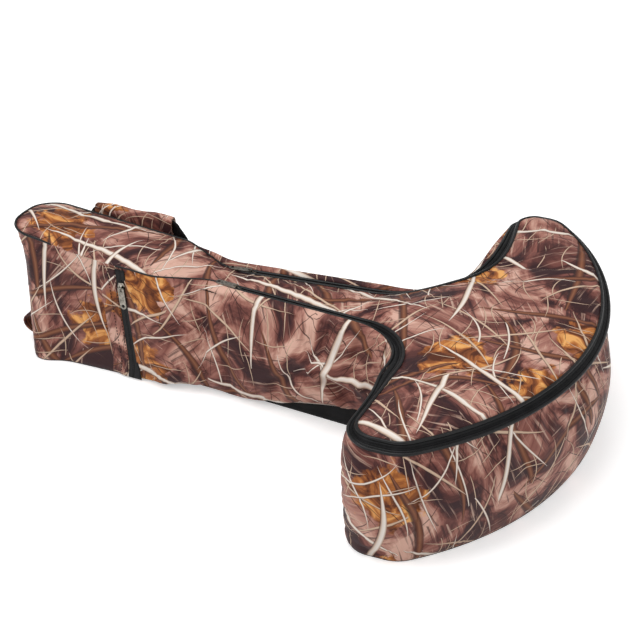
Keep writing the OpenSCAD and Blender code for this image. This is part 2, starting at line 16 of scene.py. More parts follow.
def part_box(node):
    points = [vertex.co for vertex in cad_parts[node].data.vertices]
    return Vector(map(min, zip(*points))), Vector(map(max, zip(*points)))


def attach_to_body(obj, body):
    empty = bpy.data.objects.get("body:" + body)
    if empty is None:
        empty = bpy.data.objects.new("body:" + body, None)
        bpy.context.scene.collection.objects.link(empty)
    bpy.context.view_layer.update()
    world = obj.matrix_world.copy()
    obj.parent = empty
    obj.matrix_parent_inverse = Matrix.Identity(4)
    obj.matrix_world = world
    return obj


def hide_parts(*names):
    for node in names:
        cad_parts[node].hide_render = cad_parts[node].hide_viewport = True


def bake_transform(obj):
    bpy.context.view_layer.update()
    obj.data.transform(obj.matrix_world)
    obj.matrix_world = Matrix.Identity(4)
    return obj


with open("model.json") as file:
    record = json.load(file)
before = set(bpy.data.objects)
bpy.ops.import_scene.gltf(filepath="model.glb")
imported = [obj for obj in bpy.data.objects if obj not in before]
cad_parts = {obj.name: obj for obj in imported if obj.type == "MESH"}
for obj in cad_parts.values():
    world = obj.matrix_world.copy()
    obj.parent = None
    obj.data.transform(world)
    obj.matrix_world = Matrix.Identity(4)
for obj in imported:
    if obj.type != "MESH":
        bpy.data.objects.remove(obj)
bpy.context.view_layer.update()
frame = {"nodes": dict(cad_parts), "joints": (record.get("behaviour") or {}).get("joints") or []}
JOINT_AT = {j["name"]: j.get("pos_m") for j in frame["joints"]}
MM = 0.001
CLOTH_T = 1.2 * MM
scene = bpy.context.scene

# %% [markdown]
# ## The outline
# Seen from above the case is a chain of arcs and straight runs, and every wall, piping, binding and tape
# follows that chain at some distance. So the chain is walked once, and each stop on it, called a station,
# keeps its place and the direction that faces outward. A piece is then a section drawn at each station.

# %% Sizes of the outline
base_low, base_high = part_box("base_panel")
BUTT_X = base_low.x
LENGTH = base_high.x - base_low.x
HEAD_W = base_high.y - base_low.y
BUTT_W = 2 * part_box("rear_top_panel")[1].y
RIM_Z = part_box("lid_panel")[1].z
BUTT_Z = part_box("rear_top_panel")[1].z
WAIST_W = 82 * MM
FLARE = math.radians(5)
HEAD_L = 260 * MM
TAPER_X = 266 * MM
TAPER_L = 82 * MM
BUTT_R = 45 * MM
BEND_R = 60 * MM
INNER_R = 98 * MM
TIP_R = 50 * MM
NOSE_R = 60 * MM
NOSE_RUN = 72 * MM
STEP = 5 * MM
QUARTER = math.pi / 2

# %% Arcs of the outline
wing_x = LENGTH - HEAD_L
nose_x = wing_x + NOSE_RUN
waist_x = TAPER_X + TAPER_L
taper_a = math.atan2((BUTT_W - WAIST_W) / 2, TAPER_L)
taper_run = BEND_R * math.tan(taper_a / 2)
waist_a = 3 * QUARTER + (taper_a - FLARE) / 2
waist_reach = BEND_R / math.cos((taper_a + FLARE) / 2)
nose_back = LENGTH - nose_x
nose_side = HEAD_W / 2 - NOSE_R
front_r = (nose_back**2 + nose_side**2 - NOSE_R**2) / (2 * (nose_back - NOSE_R))
front_x = LENGTH - front_r
front_a = math.atan2(nose_side, nose_x - front_x)


def flare_y(x):
    """Near side of the stem between its waist and the inner corner."""
    return -WAIST_W / 2 - (x - waist_x) * math.tan(FLARE)


inner_x = wing_x - INNER_R
flare_end = inner_x + INNER_R * math.sin(FLARE)
inner_y = flare_y(flare_end) - INNER_R * math.cos(FLARE)

# Each arc is its centre, its radius, the first and last direction that it faces, and 1 where it sticks
# out or -1 where it bends in.
ARCS = [
    (BUTT_R, BUTT_R - BUTT_W / 2, BUTT_R, 2 * QUARTER, 3 * QUARTER, 1),
    (TAPER_X - taper_run, BEND_R - BUTT_W / 2, BEND_R, 3 * QUARTER, 3 * QUARTER + taper_a, 1),
    (waist_x + waist_reach * math.cos(waist_a), waist_reach * math.sin(waist_a) - WAIST_W / 2, BEND_R,
     3 * QUARTER + taper_a, 3 * QUARTER - FLARE, -1),
    (inner_x, inner_y, INNER_R, 3 * QUARTER - FLARE, 2 * QUARTER, -1),
    (wing_x + TIP_R, TIP_R - HEAD_W / 2, TIP_R, 2 * QUARTER, 3 * QUARTER, 1),
    (nose_x, NOSE_R - HEAD_W / 2, NOSE_R, 3 * QUARTER, 4 * QUARTER - front_a, 1),
    (front_x, 0, front_r, 4 * QUARTER - front_a, 4 * QUARTER, 1),
]


# %% Walk the outline
def ease(low, high, x):
    """0 up to low, 1 from high on, and a smooth rise between them."""
    t = np.clip((np.asarray(x, float) - low) / (high - low), 0.0, 1.0)
    return t * t * (3 - 2 * t)


def shares(steps):
    """Evenly spaced shares from 0 to 1."""
    return [k / steps for k in range(steps + 1)]


def near_half():
    """Stations from the middle of the butt end to the middle of the front, as x, y and facing."""
    found = [(0.0, 0.0, 2 * QUARTER)]
    for cx, cy, r, first, last, turn in ARCS:
        start = (cx + turn * r * math.cos(first), cy + turn * r * math.sin(first))
        run = math.dist(found[-1][:2], start)
        x, y, _ = found[-1]
        pieces = max(1, round(run / STEP)) if run > STEP / 2 else 0
        for k in range(1, pieces + 1):
            found.append((x + (start[0] - x) * k / pieces, y + (start[1] - y) * k / pieces, first))
        steps = max(2, round(r * abs(last - first) / STEP))
        for k in range(1, steps + 1):
            a = first + (last - first) * k / steps
            found.append((cx + turn * r * math.cos(a), cy + turn * r * math.sin(a), a))
    return found


SKEW, SKEW_FROM = 0.03, 600 * MM
FAR_REAR_IN, FAR_REAR_RUN = 16 * MM, 90 * MM
FAR_WING = (60 * MM, 200 * MM)
near = near_half()
far = [(x, -y, -a) for x, y, a in reversed(near[1:-1])]
walk = near + far
PLAN_X = np.array([p[0] for p in walk])
PLAN_Y = np.array([p[1] for p in walk])
FACE = np.array([(math.cos(p[2]), math.sin(p[2])) for p in walk])
COUNT, FRONT = len(walk), len(near) - 1
in_head = ease(SKEW_FROM, wing_x, PLAN_X)
far_rear = in_head * (1 - ease(wing_x, wing_x + FAR_REAR_RUN, PLAN_X)) * ease(*FAR_WING, PLAN_Y)
RIM_X = PLAN_X + in_head * SKEW * PLAN_Y + FAR_REAR_IN * far_rear
gaps = np.hypot(np.diff(RIM_X, append=RIM_X[0]), np.diff(PLAN_Y, append=PLAN_Y[0]))
ALONG = np.concatenate([[0.0], np.cumsum(gaps)])
print("stations", COUNT, "round", round(ALONG[-1], 3), "m")

# %% [markdown]
# ## Levels round the rim
# The rear top slopes up to the butt end, where its edge overhangs a little, is highest on the near half and
# ends in a thin piping. Further on the zip takes over: its two edges leave the piping as a narrow slit, and
# round the head the zip leans outward under the puffed edge of the lid. Only along the rear edge of the far
# wing it lies flat, and in the near inner corner it opens to a crescent. The head is slack and sits slightly
# higher at the far wing.

# %% Rim edges at each station
CHAIN_IN, HEAD_CHAIN_IN, FLAT_CHAIN_IN = 17.6 * MM, 9 * MM, 22 * MM
CHAIN_FROM = 250 * MM
SLIT_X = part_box("near_zip_end")[0].x - BUTT_X
SLIT_RUN = 10 * MM
SLIT_W, HEAD_ZIP_W, FLAT_ZIP_W = 9 * MM, 11 * MM, 17 * MM
HEAD_X, HEAD_RUN = 590 * MM, 100 * MM
LEAN_DROP = 11 * MM
FLAT_UPRIGHT, NEAR_UPRIGHT = 0.8, 0.4
HEAD_LIFT, FAR_LIFT, BUTT_LIFT = 9 * MM, 14 * MM, 7 * MM
FAR_LIFT_RUN = 330 * MM
BUTT_LIFT_X, BUTT_LIFT_Y = (40 * MM, 140 * MM), (62 * MM, -15 * MM)
BUTT_SHORT = 4 * MM
FLAT_FROM, FLAT_TO = (90 * MM, 200 * MM), (215 * MM, 345 * MM)
CRESCENT_Y, CRESCENT_RUN = -162 * MM, 48 * MM
CRESCENT_W, CRESCENT_IN = 21 * MM, 4 * MM


def top_level(x):
    """Height of the sewn top edge, which climbs towards the butt end."""
    return RIM_Z + (BUTT_Z - RIM_Z) * np.clip(1 - np.asarray(x, float) / SLIT_X, 0.0, 1.0)


def rim_lift(x, y):
    """The slack head rises, most at the far wing, and so does the near half of the butt end."""
    head = ease(HEAD_X, HEAD_X + HEAD_RUN, x) * (HEAD_LIFT + FAR_LIFT * ease(0, FAR_LIFT_RUN, y))
    return head + BUTT_LIFT * (1 - ease(*BUTT_LIFT_X, x)) * ease(*BUTT_LIFT_Y, y)


FORWARD, REARWARD = np.clip(FACE[:, 0], 0.0, 1.0), np.clip(-FACE[:, 0], 0.0, 1.0)
AT_BUTT = REARWARD * (PLAN_X < TAPER_X)
AT_HEAD = ease(HEAD_X, HEAD_X + HEAD_RUN, PLAN_X)
OPENED = ease(SLIT_X - SLIT_RUN, SLIT_X + SLIT_RUN, PLAN_X)
LOOKS_BACK = AT_HEAD * REARWARD
NEAR_BACK = LOOKS_BACK * (PLAN_Y < 0)
LIES_FLAT = LOOKS_BACK**2 * ease(*FLAT_FROM, PLAN_Y) * (1 - ease(*FLAT_TO, PLAN_Y))
CRESCENT = LOOKS_BACK**0.5 * np.exp(-(((PLAN_Y - CRESCENT_Y) / CRESCENT_RUN) ** 2))
TOP = top_level(PLAN_X) + rim_lift(PLAN_X, PLAN_Y)
head_zip = HEAD_ZIP_W + (FLAT_ZIP_W - HEAD_ZIP_W) * LIES_FLAT + (CRESCENT_W - HEAD_ZIP_W) * CRESCENT
zip_here = OPENED * (SLIT_W + (head_zip - SLIT_W) * AT_HEAD)
chain_stem = CHAIN_IN * ease(CHAIN_FROM, SLIT_X + SLIT_RUN, PLAN_X) + BUTT_SHORT * AT_BUTT
chain_head = HEAD_CHAIN_IN + (FLAT_CHAIN_IN - HEAD_CHAIN_IN) * LIES_FLAT
chain_head = chain_head + (CRESCENT_IN - HEAD_CHAIN_IN) * CRESCENT
chain_here = chain_stem + (chain_head - chain_stem) * AT_HEAD
OUTER_IN = chain_here - zip_here / 2
INNER_IN = chain_here + zip_here / 2
RIM_AT = TOP - LEAN_DROP * AT_HEAD * (1 - FLAT_UPRIGHT * LIES_FLAT) * (1 - NEAR_UPRIGHT * NEAR_BACK)
print("zip leans", round(float(np.max(TOP - RIM_AT)) / MM, 1), "mm at most")

# %% [markdown]
# ## Small makers
# A loft joins the sections at neighbouring stations with four-sided faces. It also writes a flat map of the
# cloth in metres, so that the print keeps its real scale and stays put when the cloth bends.


# %% Mesh and loft
def mesh_object(name, points, faces, flat, material):
    mesh = bpy.data.meshes.new(name)
    mesh.from_pydata([tuple(p) for p in points], [], faces)
    layer = mesh.uv_layers.new(name="print")
    corners = np.zeros(len(mesh.loops), int)
    mesh.loops.foreach_get("vertex_index", corners)
    layer.uv.foreach_set("vector", np.asarray(flat, np.float32)[corners].ravel())
    mesh.polygons.foreach_set("use_smooth", [True] * len(mesh.polygons))
    mesh.materials.append(material)
    piece = bpy.data.objects.new(name, mesh)
    scene.collection.objects.link(piece)
    return piece


def join_rows(name, rows, material, ring=False, loop=False):
    """A mesh from rows of points, each with its place on the flat map. ring closes each row on itself and
    loop joins the last row to the first. A ring without a loop gets a face on both ends."""
    columns = len(rows[0])
    faces = []
    for i in range(len(rows) if loop else len(rows) - 1):
        a, b = i * columns, (i + 1) % len(rows) * columns
        for j in range(columns if ring else columns - 1):
            k = (j + 1) % columns
            faces.append((a + j, b + j, b + k, a + k))
    if ring and not loop:
        last = (len(rows) - 1) * columns
        faces += [tuple(reversed(range(columns))), tuple(range(last, last + columns))]
    points, flat = zip(*(pair for row in rows for pair in row))
    return mesh_object(name, points, faces, flat, material)


def rim_point(i, out, z):
    return BUTT_X + RIM_X[i] + FACE[i, 0] * out, PLAN_Y[i] + FACE[i, 1] * out, z


def rim_loft(name, stations, section, material, ring=False, shift=(0, 0)):
    """section(i) gives outward distance and height at station i, and where needed a slide along x."""
    rows = []
    for stop in stations:
        i = stop % COUNT
        run = ALONG[i] + (ALONG[-1] if stop >= COUNT else 0)
        pairs = section(i)
        up = 0.0
        row = []
        for k, (out, z, *slide) in enumerate(pairs):
            up += math.dist(pairs[k - 1][:2], (out, z)) if k else 0.0
            x, y, z = rim_point(i, out, z)
            row.append(((x + sum(slide), y, z), (run + sum(slide) + shift[0], up + shift[1])))
        rows.append(row)
    return join_rows(name, rows, material, ring)


# %% Thickness, riding and cloth
def thicken(piece, thickness, offset=-1):
    change = piece.modifiers.new("thickness", "SOLIDIFY")
    change.thickness = thickness
    change.offset = offset
    return piece


def attach(piece, body, slot, *nodes):
    """A piece moves with one body. On "fold" it is only baked in place and put on no body."""
    if body == "fold":
        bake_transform(piece)
    else:
        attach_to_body(piece, body)
    if nodes:
        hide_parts(*nodes)


def settle(piece, held, pressure, growth, cap, frames=16):
    """Blows a piece up as slack cloth that is sewn down at its held points. No point moves beyond the cap."""
    count = len(piece.data.vertices)
    rest = np.zeros(count * 3)
    piece.data.vertices.foreach_get("co", rest)
    sewn = piece.vertex_groups.new(name="sewn")
    sewn.add(held, 1.0, "REPLACE")
    cloth = piece.modifiers.new("cloth", "CLOTH")
    fabric = cloth.settings
    fabric.vertex_group_mass = "sewn"
    fabric.quality = 4
    fabric.mass = 0.25
    fabric.bending_stiffness = 0.6
    fabric.use_pressure = True
    fabric.uniform_pressure_force = pressure
    fabric.shrink_min = -growth
    fabric.effector_weights.gravity = 0
    cloth.collision_settings.use_collision = False
    cloth.point_cache.frame_end = frames
    for number in range(1, frames + 1):
        scene.frame_set(number)
    soft = piece.evaluated_get(bpy.context.evaluated_depsgraph_get())
    moved = np.zeros(count * 3)
    soft.data.vertices.foreach_get("co", moved)
    piece.modifiers.remove(cloth)
    piece.vertex_groups.remove(sewn)
    scene.frame_set(1)
    step = (moved - rest).reshape(-1, 3)
    length = np.linalg.norm(step, axis=1, keepdims=True)
    step *= cap * np.tanh(length / cap) / np.maximum(length, 1e-9)
    piece.data.vertices.foreach_set("co", rest + step.ravel())
    piece.data.update()
    print(piece.name, "settled by", round(float(length.max()) / MM, 1), "mm at most")


def where(low, high, side):
    """Stations of one side whose x lies between two distances from the butt end."""
    half = range(0, FRONT + 1) if side < 0 else range(FRONT, COUNT + 1)
    return [i for i in half if low - STEP / 4 <= PLAN_X[i % COUNT] <= high + STEP / 4]


# %% [markdown]
# ## Finishes
# Each finish starts from what the real one is. The hex colours are sRGB, and one function turns them to the
# linear numbers that the shader takes. One small function adds a node with its settings and links.


# %% Colour and node helpers
def hex_rgba(code, alpha=1.0):
    parts = [int(code[k : k + 2], 16) / 255 for k in (1, 3, 5)]
    return tuple(c / 12.92 if c <= 0.04045 else ((c + 0.055) / 1.055) ** 2.4 for c in parts) + (alpha,)


def feed(tree, node, links):
    """An input takes a number, a hex colour, a node's output or a node, which means its first output."""
    for name, value in links.items():
        if isinstance(value, bpy.types.Node):
            value = value.outputs[0]
        if isinstance(value, bpy.types.NodeSocket):
            tree.links.new(value, node.inputs[name])
        else:
            node.inputs[name].default_value = hex_rgba(value) if isinstance(value, str) else value


def add(tree, kind, links=None, operation=None, ramp=None, **settings):
    """Adds a shader node. A ramp is a list of places, hex colours and, where they aren't 1, alphas."""
    node = tree.nodes.new("ShaderNode" + kind)
    if operation:
        node.operation = operation
    for name, value in settings.items():
        setattr(node, name, value)
    feed(tree, node, links or {})
    if ramp:
        stops = node.color_ramp.elements
        while len(stops) < len(ramp):
            stops.new(0.5)
        for stop, (place, *colour) in zip(stops, ramp):
            stop.position = place
            stop.color = hex_rgba(*colour)
    return node


def new_material(name):
    material = bpy.data.materials.new(name)
    material.use_nodes = True
    return material, material.node_tree, material.node_tree.nodes["Principled BSDF"]


def per_metre(size_mm):
    """Texture scale for a pattern that repeats after this many millimetres."""
    return 1.0 / (size_mm * MM)


# A wave texture turns by 20 radians for each unit of its scale. The size of a thread is taken as one radian,
# so threads are drawn about six times as far apart as that, much coarser than real ones, so that they show.
WAVE_RADIANS = 20.0


def weave(tree, flat, thread_mm, ribs, how):
    """Height of a weave from two sets of threads. The crossing ones are ribs times finer."""
    sets = []
    for axis, size in (("X", thread_mm), ("Y", thread_mm / ribs)):
        scale = per_metre(size) / WAVE_RADIANS
        sets.append(add(tree, "TexWave", {"Vector": flat, "Scale": scale}, bands_direction=axis))
    return add(tree, "Math", {0: sets[0].outputs["Fac"], 1: sets[1].outputs["Fac"]}, how)


# %% [markdown]
# ### Printed polyester
# The outer cloth is a woven polyester with a transfer print and a faint satin shine. The print here is a
# generic brush-stroke camouflage: brown clouds, streaks whose direction changes from patch to patch, ragged
# ochre dabs, fine short twigs, and long tapered strokes in brown, tan and cream. A stroke is drawn in one
# cell of a stretched cell pattern: the cell's random colour gives its tilt, its bend and whether it is
# there at all, and the distance across it, divided by a width that tapers to both ends, goes through a ramp
# from edge to edge.

# %% Strokes of the print
TILT, BEND, TAPER = 0.28, 0.7, 5.2
NO_WIDTH = 0.00001


def strokes(tree, cloth, angle, length, apart, width, share, seed, ramp):
    """Tapered strokes: length, spacing and width in millimetres, and the share of cells that hold one."""
    tilt_most, bend_most = TILT * length / apart, BEND * length / apart
    turned = add(tree, "Mapping", {"Vector": cloth, "Rotation": (0, 0, math.radians(angle)),
                                   "Location": (seed, seed * 1.7, 0)})
    placed = add(tree, "Mapping", {"Vector": turned, "Scale": (per_metre(length), per_metre(apart), 1)})
    cells = add(tree, "TexVoronoi", {"Vector": placed, "Scale": 1.0}, voronoi_dimensions="2D")
    local = add(tree, "VectorMath", {0: placed, 1: cells.outputs["Position"]}, "SUBTRACT")
    axes = add(tree, "SeparateXYZ", {0: local})
    dice = add(tree, "SeparateColor", {0: cells.outputs["Color"]})
    tilt = add(tree, "MapRange", {"Value": dice.outputs[0], "To Min": -tilt_most, "To Max": tilt_most})
    tilted = add(tree, "Math", {0: axes, 1: tilt, 2: axes.outputs[1]}, "MULTIPLY_ADD")
    square = add(tree, "Math", {0: axes, 1: axes}, "MULTIPLY")
    bend = add(tree, "MapRange", {"Value": dice.outputs[1], "To Min": -bend_most, "To Max": bend_most})
    bent = add(tree, "Math", {0: square, 1: bend, 2: tilted}, "MULTIPLY_ADD")
    taper = add(tree, "Math", {0: square, 1: -TAPER, 2: 1.0}, "MULTIPLY_ADD", use_clamp=True)
    there = add(tree, "Math", {0: dice.outputs[2], 1: share}, "LESS_THAN")
    kept = add(tree, "Math", {0: taper, 1: there}, "MULTIPLY")
    half = add(tree, "Math", {0: kept, 1: width / apart, 2: NO_WIDTH}, "MULTIPLY_ADD")
    across = add(tree, "Math", {0: bent, 1: half}, "DIVIDE")
    moved = add(tree, "Math", {0: across, 1: 0.5}, "ADD", use_clamp=True)
    return add(tree, "ValToRGB", {"Fac": moved}, ramp=ramp)


# %% Colours of the strokes
CLEAR, SHADE = ("#312121", 0.0), ("#312121", 0.8)
TAN, CREAM, PALE = "#bea08b", "#dfd2c6", "#ebe3db"
TWIG = [(0.0, *CLEAR), (0.3, "#311b1a", 0.85), (0.65, "#442924", 0.85), (0.9, *CLEAR)]
BARK = [(0.0, *CLEAR), (0.14, *SHADE), (0.3, "#583227"), (0.55, "#89583f"), (0.8, "#583227"), (0.92, *CLEAR)]
STRAW = [(0.0, *CLEAR), (0.16, *SHADE), (0.3, TAN), (0.62, "#d3b89e"), (0.84, TAN), (0.92, *CLEAR)]
REED = [(0.0, *CLEAR), (0.1, *SHADE), (0.22, TAN), (0.36, CREAM), (0.64, PALE), (0.8, TAN), (0.9, *CLEAR)]

# Each set of strokes: its angle, then length, spacing and width in millimetres, the share of cells that hold
# one, a seed and the ramp.
STROKES = [
    (48, 90, 17, 2.4, 0.5, 7.2, TWIG),
    (-66, 85, 18, 2.4, 0.45, 2.9, TWIG),
    (70, 280, 64, 18, 0.5, 3.1, BARK),
    (-20, 280, 70, 16, 0.45, 8.3, BARK),
    (35, 190, 44, 6, 0.45, 1.3, STRAW),
    (-50, 190, 48, 6, 0.4, 6.1, STRAW),
    (82, 80, 20, 2.4, 0.4, 5.3, STRAW),
    (-8, 75, 22, 2.2, 0.35, 9.9, STRAW),
    (60, 150, 52, 4.5, 0.4, 2.2, REED),
    (-35, 150, 56, 4.5, 0.35, 5.9, REED),
    (15, 300, 105, 14, 0.6, 9.2, REED),
    (102, 260, 110, 13, 0.55, 4.4, REED),
]
print("sets of strokes", len(STROKES))


# %% Ground of the print
def wandering(tree, flat):
    """The flat map pushed about by a broad noise, so that nothing in the print runs straight."""
    broad = {"Vector": flat, "Scale": per_metre(260), "Detail": 0.0}
    wander = add(tree, "TexNoise", broad, noise_dimensions="2D")
    centred = add(tree, "VectorMath", {0: wander.outputs["Color"], 1: (0.5, 0.5, 0.5)}, "SUBTRACT")
    return add(tree, "VectorMath", {0: centred, 1: (50 * MM, 50 * MM, 0.0), 2: flat}, "MULTIPLY_ADD")


def clouds_and_streaks(tree, cloth):
    """Brown clouds, and streaks that are combed another way in each patch."""
    soft = {"Vector": cloth, "Scale": per_metre(85), "Detail": 5.0, "Roughness": 0.58, "Distortion": 0.7}
    clouds = add(tree, "TexNoise", soft, noise_dimensions="2D")
    ground = add(tree, "ValToRGB", {"Fac": clouds}, ramp=[
        (0.38, "#351d20"), (0.45, "#58322e"), (0.51, "#835148"), (0.57, "#a97769"), (0.66, "#d4aa99")])
    patches = add(tree, "TexVoronoi", {"Vector": cloth, "Scale": per_metre(130)}, voronoi_dimensions="2D")
    dice = add(tree, "SeparateColor", {0: patches.outputs["Color"]})
    angle = add(tree, "Math", {0: dice, 1: math.pi}, "MULTIPLY")
    laid = add(tree, "VectorRotate", {"Vector": cloth, "Angle": angle}, rotation_type="Z_AXIS")
    combed = add(tree, "Mapping", {"Vector": laid, "Scale": (per_metre(110), per_metre(6.5), 1)})
    fine = {"Vector": combed, "Scale": 1.0, "Detail": 3.0, "Roughness": 0.6}
    streaks = add(tree, "TexNoise", fine, noise_dimensions="2D")
    tone = add(tree, "ValToRGB", {"Fac": streaks}, ramp=[
        (0.34, "#2f181b", 0.7), (0.44, "#4d2b28", 0.0), (0.6, "#b17c6b", 0.0), (0.72, "#e5c5b1", 0.5)])
    return ground, tone


def ochre_dabs(tree, flat, cloth):
    """Ragged dabs in some of the cells of a torn pattern: their colour and where they are."""
    torn_by = {"Vector": flat, "Scale": per_metre(30), "Detail": 4.0}
    ragged = add(tree, "TexNoise", torn_by, noise_dimensions="2D").outputs["Color"]
    torn = add(tree, "VectorMath", {0: ragged, 1: (70 * MM, 70 * MM, 0.0), 2: cloth}, "MULTIPLY_ADD")
    cells = add(tree, "TexVoronoi", {"Vector": torn, "Scale": per_metre(165)}, voronoi_dimensions="2D")
    dice = add(tree, "SeparateColor", {0: cells.outputs["Color"]})
    there = add(tree, "Math", {0: dice, 1: 0.62}, "GREATER_THAN")
    inside = add(tree, "MapRange", {"Value": cells.outputs["Distance"], "From Min": 0.27, "From Max": 0.31,
                                    "To Min": 1.0, "To Max": 0.0})
    dab = add(tree, "Math", {0: there, 1: inside}, "MULTIPLY")
    mottled = {"Vector": cloth, "Scale": per_metre(38), "Detail": 4.0, "Roughness": 0.6, "Distortion": 1.2}
    mottle = add(tree, "TexNoise", mottled, noise_dimensions="2D")
    ochre = add(tree, "ValToRGB", {"Fac": mottle}, ramp=[
        (0.34, "#532917"), (0.46, "#8b4f2a"), (0.56, "#b6713a"), (0.68, "#e5a863")])
    return ochre, dab


# %% Printed polyester
def printed_polyester():
    material, tree, shader = new_material("printed_polyester")
    flat = add(tree, "UVMap", uv_map="print")
    cloth = wandering(tree, flat)
    ground, streaks = clouds_and_streaks(tree, cloth)
    layers = [(streaks, streaks.outputs["Alpha"]), ochre_dabs(tree, flat, cloth)]
    for look in STROKES:
        lines = strokes(tree, cloth, *look)
        layers.append((lines, lines.outputs["Alpha"]))
    colour = ground
    for paint, amount in layers:
        colour = add(tree, "Mix", {0: amount, 6: colour, 7: paint}, data_type="RGBA").outputs[2]
    woven = weave(tree, flat, 1.4, 1, "MULTIPLY")
    crinkled = {"Vector": flat, "Scale": per_metre(22), "Detail": 3.0}
    crinkle = add(tree, "TexNoise", crinkled, noise_dimensions="2D")
    creased = add(tree, "Bump", {"Height": crinkle, "Strength": 0.35, "Distance": 2.2 * MM})
    bump = add(tree, "Bump", {"Height": woven, "Strength": 0.3, "Distance": 0.15 * MM, "Normal": creased})
    finish = {"Base Color": colour, "Normal": bump, "Roughness": 0.55, "Specular IOR Level": 0.18}
    feed(tree, shader, finish)
    return material


PRINT = printed_polyester()
print("print", len(PRINT.node_tree.nodes), "nodes")

# %% [markdown]
# ### Black cloths, tapes and metal
# The plain black pieces are polyester and nylon: a matt woven backing, a smooth lining, zip tape, a shinier
# binding and coarse webbing. They differ in the spacing of their threads and in their shine. The sliders,
# pulls and rings are nickel-plated castings with a smoky tone and soft scratches.


# %% Black woven finishes
def black_woven(name, colour, thread_mm, ribs, roughness, depth_mm, worn="#151517", shine=0.2):
    """ribs is how many times finer the threads lie across the piece than along it."""
    material, tree, shader = new_material(name)
    flat = add(tree, "UVMap", uv_map="print")
    woven = weave(tree, flat, thread_mm, ribs, "ADD")
    dusty = {"Vector": flat, "Scale": per_metre(30), "Detail": 5.0}
    dust = add(tree, "TexNoise", dusty, noise_dimensions="2D")
    tone = add(tree, "ValToRGB", {"Fac": dust}, ramp=[(0.4, colour), (0.75, worn)])
    bump = add(tree, "Bump", {"Height": woven, "Strength": 0.5, "Distance": depth_mm * MM})
    finish = {"Base Color": tone, "Normal": bump, "Roughness": roughness, "Specular IOR Level": shine}
    feed(tree, shader, finish)
    return material


BACKING = black_woven("black_backing_polyester", "#070708", 1.6, 1, 0.75, 0.2)
LINING = black_woven("black_nylon_lining", "#1b1b1f", 1.2, 1, 0.45, 0.12, worn="#2a2a2e", shine=0.35)
TAPE = black_woven("black_zip_tape", "#060607", 1.5, 1, 0.46, 0.2)
BINDING = black_woven("black_grosgrain_binding", "#060607", 1.8, 1, 0.38, 0.2, shine=0.34)
WEBBING = black_woven("black_polypropylene_webbing", "#070708", 2.4, 0.6, 0.55, 0.5)
COIL = black_woven("black_nylon_coil", "#0a0a0c", 1.5, 1, 0.4, 0.05)
THREAD = black_woven("brown_polyester_thread", "#120b0b", 0.8, 1, 0.7, 0.05, worn="#241716")
print("black finishes and thread made")


# %% Nickel plate
def nickel_plate():
    material, tree, shader = new_material("nickel_plated_zinc")
    place = add(tree, "TexCoord").outputs["Object"]
    grain = add(tree, "TexNoise", {"Vector": place, "Scale": per_metre(4), "Detail": 6.0})
    tone = add(tree, "ValToRGB", {"Fac": grain}, ramp=[(0.35, "#66625b"), (0.65, "#9e988f")])
    dull = add(tree, "MapRange", {"Value": grain, "From Min": 0.3, "From Max": 0.7,
                                  "To Min": 0.22, "To Max": 0.4})
    feed(tree, shader, {"Base Color": tone, "Roughness": dull, "Metallic": 1.0})
    return material


NICKEL = nickel_plate()
METAL_NODES = [
    "near_slider", "near_pull", "far_slider", "far_pull", "pocket_slider", "pocket_pull",
    "rear_handle_ring", "front_handle_ring",
]
for name in METAL_NODES:
    metal = frame["nodes"][name]
    metal.data.materials.clear()
    metal.data.materials.append(NICKEL)
    rounded = metal.modifiers.new("worn edges", "BEVEL")
    rounded.width = 0.25 * MM
    rounded.segments = 2
    rounded.limit_method = "ANGLE"
print("plated pieces", len(METAL_NODES))

# %% [markdown]
# ## Walls
# A wall is a strip of printed cloth over foam. It rounds the bottom edge, bulges, most at the head, and folds
# over the rim to the zip. The ring is cut in panels at the real seams, where the cloth is pulled in a little.
# Each panel is then blown up as slack cloth that is held at its seams, which gives the folds of the real one.

# %% Shape of the walls
WALL_ROWS, FOLD_STEPS = 30, 6
WALL_LOW, EDGE_R = 5 * MM, 9 * MM
STEM_TUCK, HEAD_TUCK = 2.5 * MM, 6 * MM
HEAD_SWELL, STEM_SWELL, BUTT_SWELL = 12 * MM, 3 * MM, 0.6 * MM
FAR_SWELL, FAR_CREST, WING_CREST = 8 * MM, 10 * MM, 0.4
CORNER_OUT, CORNER_X, CORNER_RUN = 12 * MM, 58 * MM, 26 * MM
SEAM_DIP, SEAM_RUN = 1.2 * MM, 5 * MM
STEM_FROM, STEM_TO = (255 * MM, 340 * MM), (600 * MM, 690 * MM)
FAR_FRONT, FAR_TUCK = (-40 * MM, 160 * MM), (20 * MM, 150 * MM)
past_butt = ease(*STEM_FROM, PLAN_X)
far_front = ease(*FAR_FRONT, PLAN_Y) * FORWARD
head_swell = HEAD_SWELL * (1 - 0.9 * far_front) * (1 - LIES_FLAT) * (1 - 0.5 * NEAR_BACK)
FAR_SIDE = ease(*FAR_TUCK, PLAN_Y) * FORWARD
SWELL = BUTT_SWELL + (STEM_SWELL - BUTT_SWELL) * past_butt + (head_swell - STEM_SWELL) * AT_HEAD
TUCK = STEM_TUCK + (HEAD_TUCK - STEM_TUCK) * AT_HEAD * (1 - NEAR_BACK)
FAR_STEM = past_butt * (1 - ease(*STEM_TO, PLAN_X)) * (FACE[:, 1] > 0)
CREST = FAR_CREST * np.maximum(FAR_STEM, WING_CREST * LIES_FLAT)
CORNER = CORNER_OUT * np.exp(-(((PLAN_X - CORNER_X) / CORNER_RUN) ** 2)) * FACE[:, 1] ** 2


def nearest_station(x, y):
    return min(range(FRONT), key=lambda i: math.dist((PLAN_X[i], PLAN_Y[i]), (x, y)))


